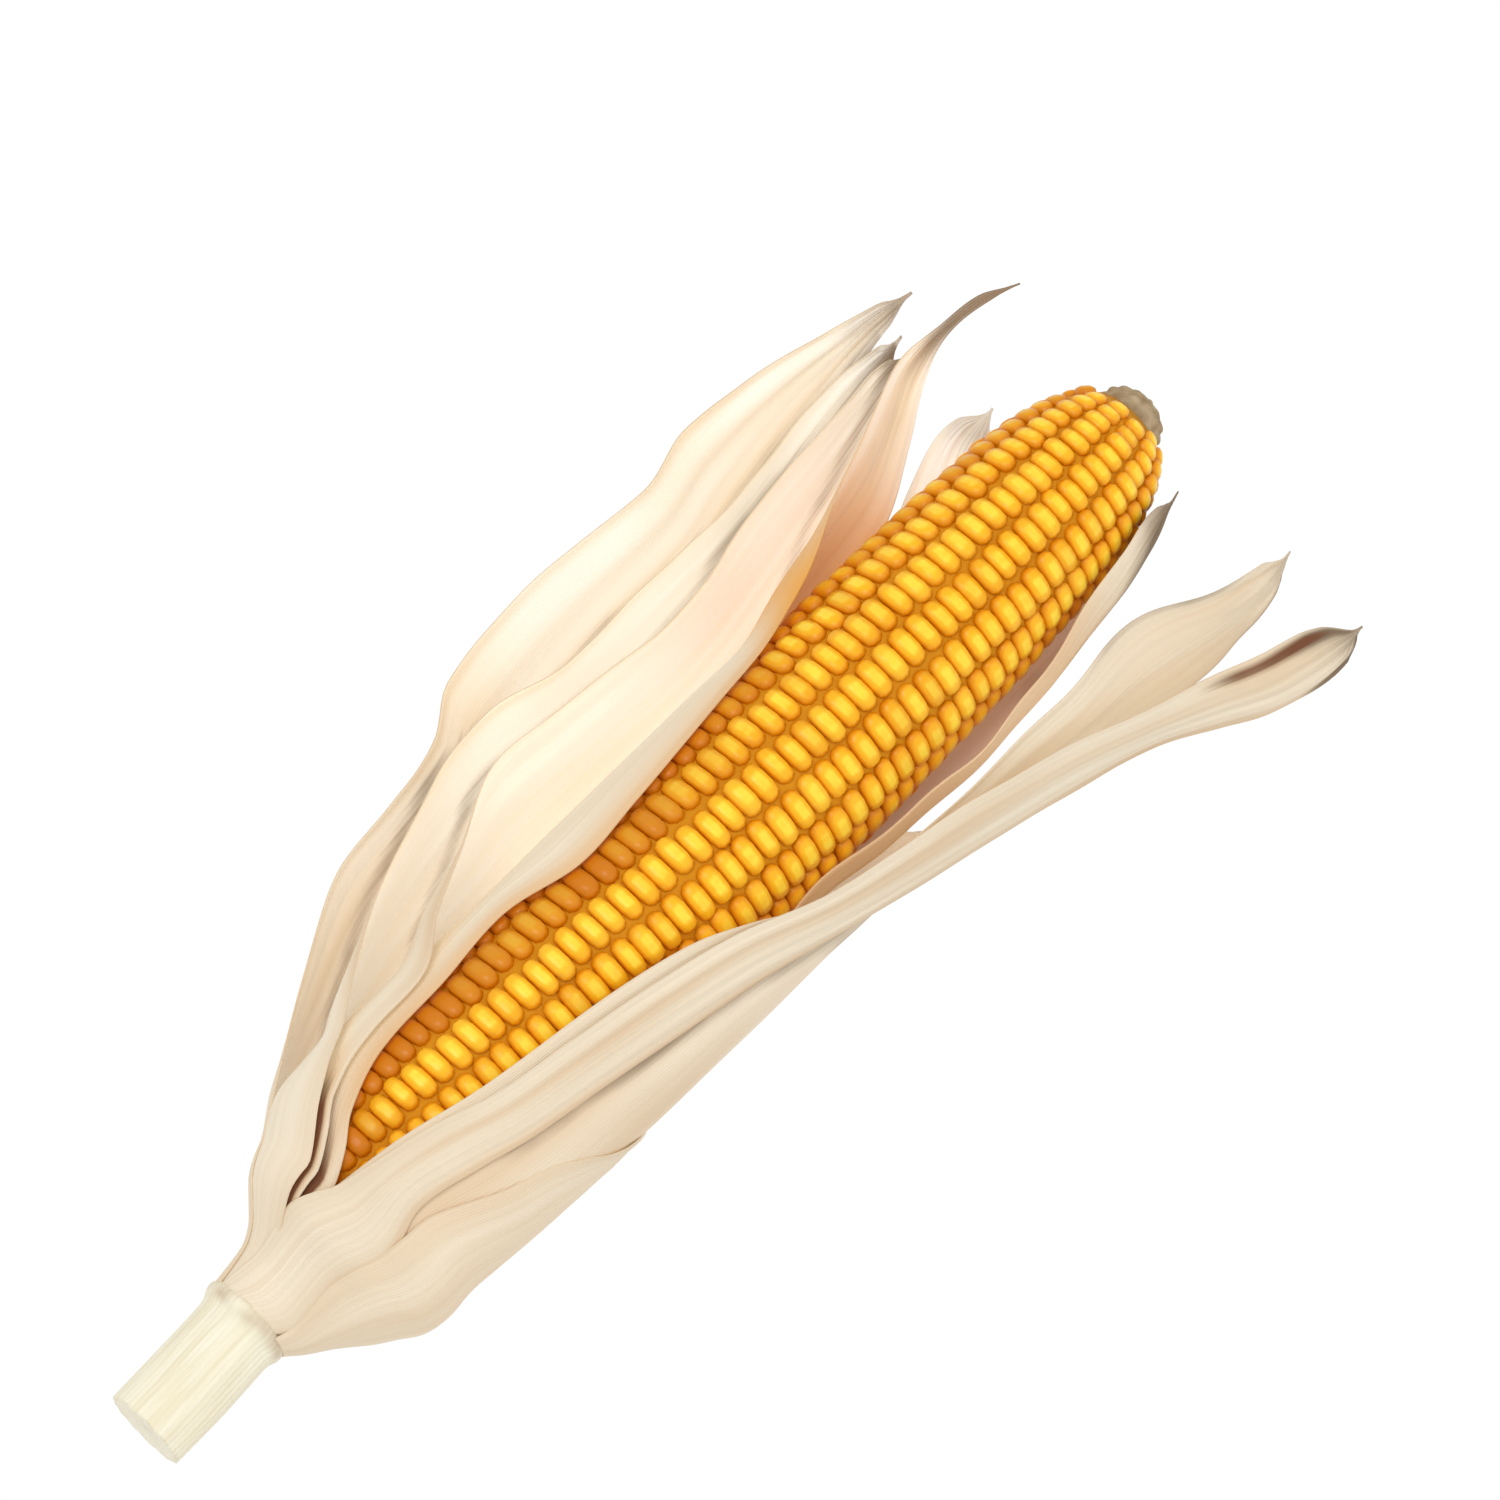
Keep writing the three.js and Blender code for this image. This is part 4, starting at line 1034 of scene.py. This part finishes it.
# %% The stations of the two leaves in front
# How far over the slack leaf the foot leaf lies, and between which places across it: (x, gap, from, to).
FOOT_SPANS = [
    (-13, 1.15, -0.72, 0.83), (-8, 1.15, -0.72, 0.84), (-3, 1.15, -0.74, 0.87), (1, 1.15, -0.74, 0.89),
    (5, 1.15, -0.75, 0.88), (10, 1.05, -0.75, 0.84), (16, 0.75, -0.76, 0.77), (23, 0.6, -0.76, 0.72),
    (30, 0.55, -0.76, 0.66), (39, 0.5, -0.74, 0.58), (46, 0.5, -0.7, 0.44), (52, 0.5, -0.62, 0.24),
    (59, 0.5, -0.5, 0), (64, 0.5, -0.4, -0.22),
]
LEAVES.update({
    "husk_front": {
        "stations": FRONT,
        "loose": 1, "folds": (0.2, 3), "waves": (0.2, 30, 0), "free": (20, 60),
        # The tan band near its second edge is painted shade under the first edge of the leaf above.
        "withers": (0.98, 0.3), "stains_and_shade": [(0.8, 0.16, 0, 140, 0.7), (-0.2, 0.25, 0, 150, 0.3)],
        "under": "husk_right_outer",
    },
    "husk_foot": {
        "stations": [wrap(ROOT_AT, 5, -116, -212), *(over(FRONT, *span) for span in FOOT_SPANS)],
        "loose": 1, "folds": (0, 1), "waves": (0.1, 24, 0.5), "free": (0, 30),
        "withers": (0.98, 0.2), "stains_and_shade": [(0.9, 0.2, -16, 60, 0.4), (-0.1, 0.3, -16, 60, 0.35)],
    },
})
print(len(LEAVES), "husk leaves")

# %% [markdown]
# ## From the entry to a point of the leaf
#
# A dry leaf is never smooth: it keeps long low ridges from its veins, crumples where it withered, and its
# edges flutter. Noise drawn out along the leaf gives all three, so they need no modelling by hand. It is
# added square to the sheet, less near the foot, and nothing goes below the surface that the ear lies on.

# %% A point of a leaf
LEAF_THICKNESS = 0.45
RIDGES, FINE_RIDGES, CRUMPLING, FLUTTER = 0.4, 0.12, 0.5, 0.55
FIRST_SEED, SEED_STEP = 10, 31
SEEDS = {name: FIRST_SEED + SEED_STEP * number for number, name in enumerate(LEAVES)}


def leaf_point(leaf, seed, x, t, share):
    """The point at t across the leaf (-1 at its first edge, 1 at its second), at share of its length."""
    y1, z1, y2, z2, bulge = smooth(leaf["stations"], x)
    half = math.hypot(y2 - y1, z2 - z1) / 2
    dy, dz = (y2 - y1) / (2 * half), (z2 - z1) / (2 * half)
    bend = 2 * math.atan(bulge)
    across = half * math.sin(t * bend) / math.sin(bend)
    deep = half * (math.cos(t * bend) - math.cos(bend)) / math.sin(bend)
    freedom = ease(*leaf["free"], x) * min(1, half / 8)
    looseness = ((1 + leaf["loose"] * t) / 2) ** 1.5
    fold = leaf["folds"][0] * math.sin(math.pi * leaf["folds"][1] * (t + 1))
    wave = leaf["waves"][0] * math.sin(2 * math.pi * x / leaf["waves"][1] + leaf["waves"][2])
    deep += freedom * looseness * (fold + wave)

    dryness = ease(leaf["withers"][0] - 0.12, 1, share)
    ridges = RIDGES * noise.noise(Vector((t * 4.5, x / 90, seed)))
    ridges += FINE_RIDGES * noise.noise(Vector((t * 14.0, x / 60, seed + 5)))
    ridges += dryness * CRUMPLING * noise.noise(Vector((t * 5.0, x / 9, seed + 9)))
    edge = abs(t) ** 6
    flutter = edge * (0.15 + 0.85 * freedom) * FLUTTER * noise.noise(Vector((x / 14, t, seed + 13)))
    amount = min(1, half / 5) * ease(-8, 20, x) * (ridges + flutter)
    height, start, end = leaf.get("lift", (0, 0, 1))
    amount += height * ((1 - t) / 2) ** 8 * ease(start - 6, start + 4, x) * (1 - ease(end - 12, end, x))

    tilt = t * bend
    out_y = -dz * math.cos(tilt) + dy * math.sin(tilt)
    out_z = dy * math.cos(tilt) + dz * math.sin(tilt)
    y = (y1 + y2) / 2 + dy * across - dz * deep + out_y * amount
    z = (z1 + z2) / 2 + dz * across + dy * deep + out_z * amount
    return x, y, max(z, FLOOR + LEAF_THICKNESS / 2)


tip = leaf_point(LEAVES["husk_left_inner"], SEEDS["husk_left_inner"], 242, 0, 1)
print("the tip of the left inner leaf:", tuple(round(c, 1) for c in tip))

# %% [markdown]
# ## The colours of a leaf over its surface
#
# Stains, withering, painted shade in creases and slots, and painted orange light bounced from the kernels
# don't repeat, so a pattern can't make them. Each point of a leaf carries them as numbers instead, and the
# husk's materials read those as attributes. They are soft bands on the leaf's own two directions, and so
# stay on it from every side.

# %% Stains, burns, withering and the painted shade in the slots
BAND_FADE = 10
EDGE_TAN, BURN_AND_SHADE_STAIN, BURN_AND_SHADE_DRYNESS = 0.25, 1.5, 1.1


def bands_at(bands, x, t):
    """The sum of soft bands along a leaf, each (t, width, from, to, amount)."""
    total = 0
    for middle, width, start, end, amount in bands:
        soft = min(BAND_FADE, (end - start) / 4)
        along = ease(start - soft, start + soft, x) * (1 - ease(end - soft, end + soft, x))
        total += amount * along * math.exp(-(((t - middle) / width) ** 2))
    return total


def burn_and_slot_shade_at(leaf, x, t):
    """Red-brown in bands, and red-brown painted shade, with a brown stain, in the slot under the next leaf
    at the foot.
    """
    burn_and_slot_shade = bands_at(leaf.get("burnt", []), x, t)
    if "slot_shade_and_stain" in leaf:
        edge, first, last = leaf["slot_shade_and_stain"]
        # The slot is painted shade, red-brown, with a brown stain.
        beyond = ease(edge - 0.03, edge + 0.03, t)
        burn_and_slot_shade += beyond * ease(first - 6, first + 2, x) * (1 - ease(last - 18, last, x))
    return burn_and_slot_shade


def stain_and_shade_at(leaf, seed, x, t):
    """The leaf's own soft blotches, its tan edges, its tan bands of stain and of painted shade along
    creases, and more where it is burnt and in the painted shade of a slot.
    """
    blotch = max(0, 0.5 * noise.noise(Vector((t * 2.2, x / 40, seed + 21))) + 0.1)
    edges = EDGE_TAN * abs(t) ** 12
    return blotch + edges + bands_at(leaf.get("stains_and_shade", []), x, t) + BURN_AND_SHADE_STAIN * burn_and_slot_shade_at(leaf, x, t)


def wither_and_slot_shade_at(leaf, x, t, share):
    """Grey-brown towards the tip and in bands, and darker where it is burnt and in the painted shade of a
    slot.
    """
    start, strength = leaf["withers"]
    dry = strength * ease(start - 0.04, start + 0.06, share)
    return dry + bands_at(leaf.get("scorched", []), x, t) + BURN_AND_SHADE_DRYNESS * burn_and_slot_shade_at(leaf, x, t)


print("a stain at an edge:", round(stain_and_shade_at({}, 1, 50, 1), 2))

# %% Painted shade in the creases, painted light bounced from the kernels, and the glow
CREASE_WIDTH, CREASE_DARKNESS, SHADE_SLANT = 2.6, 0.54, 0.31
BOUNCE_REACH, BOUNCE_FADE, RIM_BOUNCE = 9, 25, 0.3
BOUNCE_RIM_WIDTH, LIT_RIM = 0.16, 0.3


def crease_at(leaf, x, y, z):
    """Dull where the next leaf's first edge shades this one: beneath it, along the slant of the light."""
    if "under" not in leaf:
        return 0
    upper = LEAVES[leaf["under"]]
    first, last = upper["stations"][0][0], upper["stations"][-1][0]
    share = (x - first) / (last - first)
    if not 0 < share < 1:
        return 0
    _, edge_y, edge_z = leaf_point(upper, SEEDS[leaf["under"]], x, -1, share)
    away = (y - edge_y + SHADE_SLANT * (z - edge_z)) / CREASE_WIDTH
    return CREASE_DARKNESS * ease(20, 40, x) * math.exp(-(away**2))


def kernel_bounce_at(leaf, t, x, y, z):
    """How much painted orange light bounced from the kernels a leaf gets: most where it is closest to them,
    and a little at its first edge.
    """
    amount, start, end = leaf.get("kernel_bounce_light", (0, 0, 1))
    away = math.hypot(y - axis_y(x), z) - smooth(EAR_PROFILE, min(x, end))[0]
    begun = ease(start, start + BOUNCE_FADE, x)
    near = begun * (1 - ease(end - BOUNCE_FADE, end, x)) * math.exp(-((away / BOUNCE_REACH) ** 2))
    rim = ease(10, 30, x) * (1 - begun) * math.exp(-(((t + 1) / BOUNCE_RIM_WIDTH) ** 2))
    return amount * (near + RIM_BOUNCE * rim)


def lit_at(leaf, x, t):
    """How much stronger a leaf glows than its material does, over all of it and at its first edge."""
    overall, rim, start = leaf.get("lit", (0, 0, 0))
    return overall + rim * ease(start, start + 20, x) * math.exp(-(((t + 1) / LIT_RIM) ** 2))


print("more glow at the edge of the left inner leaf:", lit_at(LEAVES["husk_left_inner"], 60, -1))

# %% [markdown]
# ## The ten leaves
#
# One grid serves for every leaf. Its rows are closer together at the foot and at the tip, where the form
# changes most, and the last rows draw in to a point. A vertex group keeps the middle of the sheet at its
# full thickness and lets the edges be thinner, as they are on a real leaf.

# %% Bend a grid into each leaf
ROWS_ALONG, ROWS_ACROSS = 170, 44
CROWDING, TIP_NARROWING = 0.06, 0.85
EDGE_THICKNESS = 0.55


def leaf_piece(name, leaf, seed):
    """A leaf as one piece, with its colours as attributes and its thickness from a modifier."""
    first, last = leaf["stations"][0][0], leaf["stations"][-1][0]
    bm = bmesh.new()
    bmesh.ops.create_grid(bm, x_segments=ROWS_ALONG, y_segments=ROWS_ACROSS, size=0.5)
    uv = bm.loops.layers.uv.new("leaf")
    layers = bm.verts.layers.float
    withered_and_shaded, stained_and_shaded, kernel_bounce, lit = (layers.new(key) for key in ("withered_and_shaded", "stained_and_shaded", "kernel_bounce", "lit"))
    weights = bm.verts.layers.deform.new()
    for face in bm.faces:
        for loop in face.loops:
            loop[uv].uv = (loop.vert.co.y + 0.5, loop.vert.co.x + 0.5)
    for v in bm.verts:
        u, t = v.co.x + 0.5, 2 * v.co.y
        share = u - CROWDING * math.sin(2 * math.pi * u)
        x = lerp(first, last, share)
        narrow = 1 - TIP_NARROWING * ease(0.97, 1.0, share)
        point = leaf_point(leaf, seed, x, t * narrow, share)
        # Painted shade in the creases under the next leaf is added to the withered value.
        v[withered_and_shaded] = wither_and_slot_shade_at(leaf, x, t, share) + crease_at(leaf, *point)
        v[stained_and_shaded] = stain_and_shade_at(leaf, seed, x, t)
        # Painted orange light bounced from the kernels.
        v[kernel_bounce] = kernel_bounce_at(leaf, t, *point)
        v[lit] = lit_at(leaf, x, t)
        v[weights][0] = (1 - ease(0.82, 1, abs(t))) * (1 - ease(0.96, 1, share))
        v.co = place(*point)
    piece = finish_piece(name + "_leaf", bm, [HUSK_OUTSIDE, HUSK_INSIDE], name, "husk")
    piece.vertex_groups.new(name="middle")
    skin = piece.modifiers.new("thickness", "SOLIDIFY")
    skin.thickness = LEAF_THICKNESS * MM
    skin.vertex_group = "middle"
    skin.thickness_vertex_group = EDGE_THICKNESS
    skin.offset = 0
    skin.material_offset = 1
    skin.material_offset_rim = 0


for name, leaf in LEAVES.items():
    leaf_piece(name, leaf, SEEDS[name])

# %% [markdown]
# ## The floor, the light and the camera
#
# The ear lies on a white light table, as for a catalogue picture: the surface glows evenly, so it shows no
# shadow, and it lights the underside of the leaves. A soft key light stands above and to the left. The
# camera looks down with a long lens, across the ear, so that it runs from the lower left to the upper
# right.

# %% The floor
FLOOR_REACH, FLOOR_GLOW = 3, 1.02


def floor_material():
    """An even white glow and no gloss, so that nothing on it shows but the ear."""
    material, tree, shader = new_material(
        "floor_white", roughness=1.0, specular=0.0, Emission_Strength=FLOOR_GLOW
    )
    shader.inputs["Base Color"].default_value = (0, 0, 0, 1)
    shader.inputs["Emission Color"].default_value = (1, 1, 1, 1)
    return material


bm = bmesh.new()
bmesh.ops.create_grid(bm, x_segments=1, y_segments=1, size=FLOOR_REACH)
floor_mesh = bpy.data.meshes.new("floor")
bm.to_mesh(floor_mesh)
bm.free()
floor_mesh.materials.append(floor_material())
floor = bpy.data.objects.new("floor", floor_mesh)
bpy.context.collection.objects.link(floor)
print("the floor reaches", FLOOR_REACH, "m each way")

# %% The camera
AIM = place(130.259, 6.452, 0)
AZIMUTH, ELEVATION = math.radians(-46.916), math.radians(65)
DISTANCE, FAR_CLIP = 0.972134, 20
LENS, SENSOR = 120, 36
back = Vector((
    math.sin(AZIMUTH) * math.cos(ELEVATION),
    -math.cos(AZIMUTH) * math.cos(ELEVATION),
    math.sin(ELEVATION),
))
right = Vector((math.cos(AZIMUTH), math.sin(AZIMUTH), 0))
up = back.cross(right)
camera_data = bpy.data.cameras.new("camera")
camera_data.lens = LENS
camera_data.sensor_width = SENSOR
camera_data.clip_end = FAR_CLIP
camera = bpy.data.objects.new("camera", camera_data)
turned = Matrix((right, up, back)).transposed().to_4x4()
camera.matrix_world = Matrix.Translation(AIM + back * DISTANCE) @ turned
bpy.context.collection.objects.link(camera)
bpy.context.scene.camera = camera
print("camera at", tuple(round(c, 3) for c in camera.matrix_world.translation))

# %% The lights
SKY_STRENGTH = 0.8


def soft_light(name, direction, distance, size, power):
    """A square lamp, in metres and watts, that faces the middle of the ear from this direction."""
    lamp = bpy.data.lights.new(name, "AREA")
    lamp.size, lamp.energy = size, power
    holder = bpy.data.objects.new(name, lamp)
    spot = AIM + direction.normalized() * distance
    holder.matrix_world = Matrix.Translation(spot) @ direction.to_track_quat("Z", "Y").to_matrix().to_4x4()
    bpy.context.collection.objects.link(holder)
    print(f"{name} light: {power} W, {distance} m away")


soft_light("key", -0.2 * right + 0.35 * up + back, distance=1.1, size=0.5, power=4)
soft_light("fill", 0.7 * right - 0.1 * up + 0.7 * back, distance=1.4, size=1.2, power=2.5)
world = bpy.data.worlds.new("studio")
world.use_nodes = True
sky = world.node_tree.nodes["Background"]
sky.inputs["Color"].default_value = (1, 1, 1, 1)
sky.inputs["Strength"].default_value = SKY_STRENGTH
bpy.context.scene.world = world
bpy.context.scene.view_settings.view_transform = "Standard"
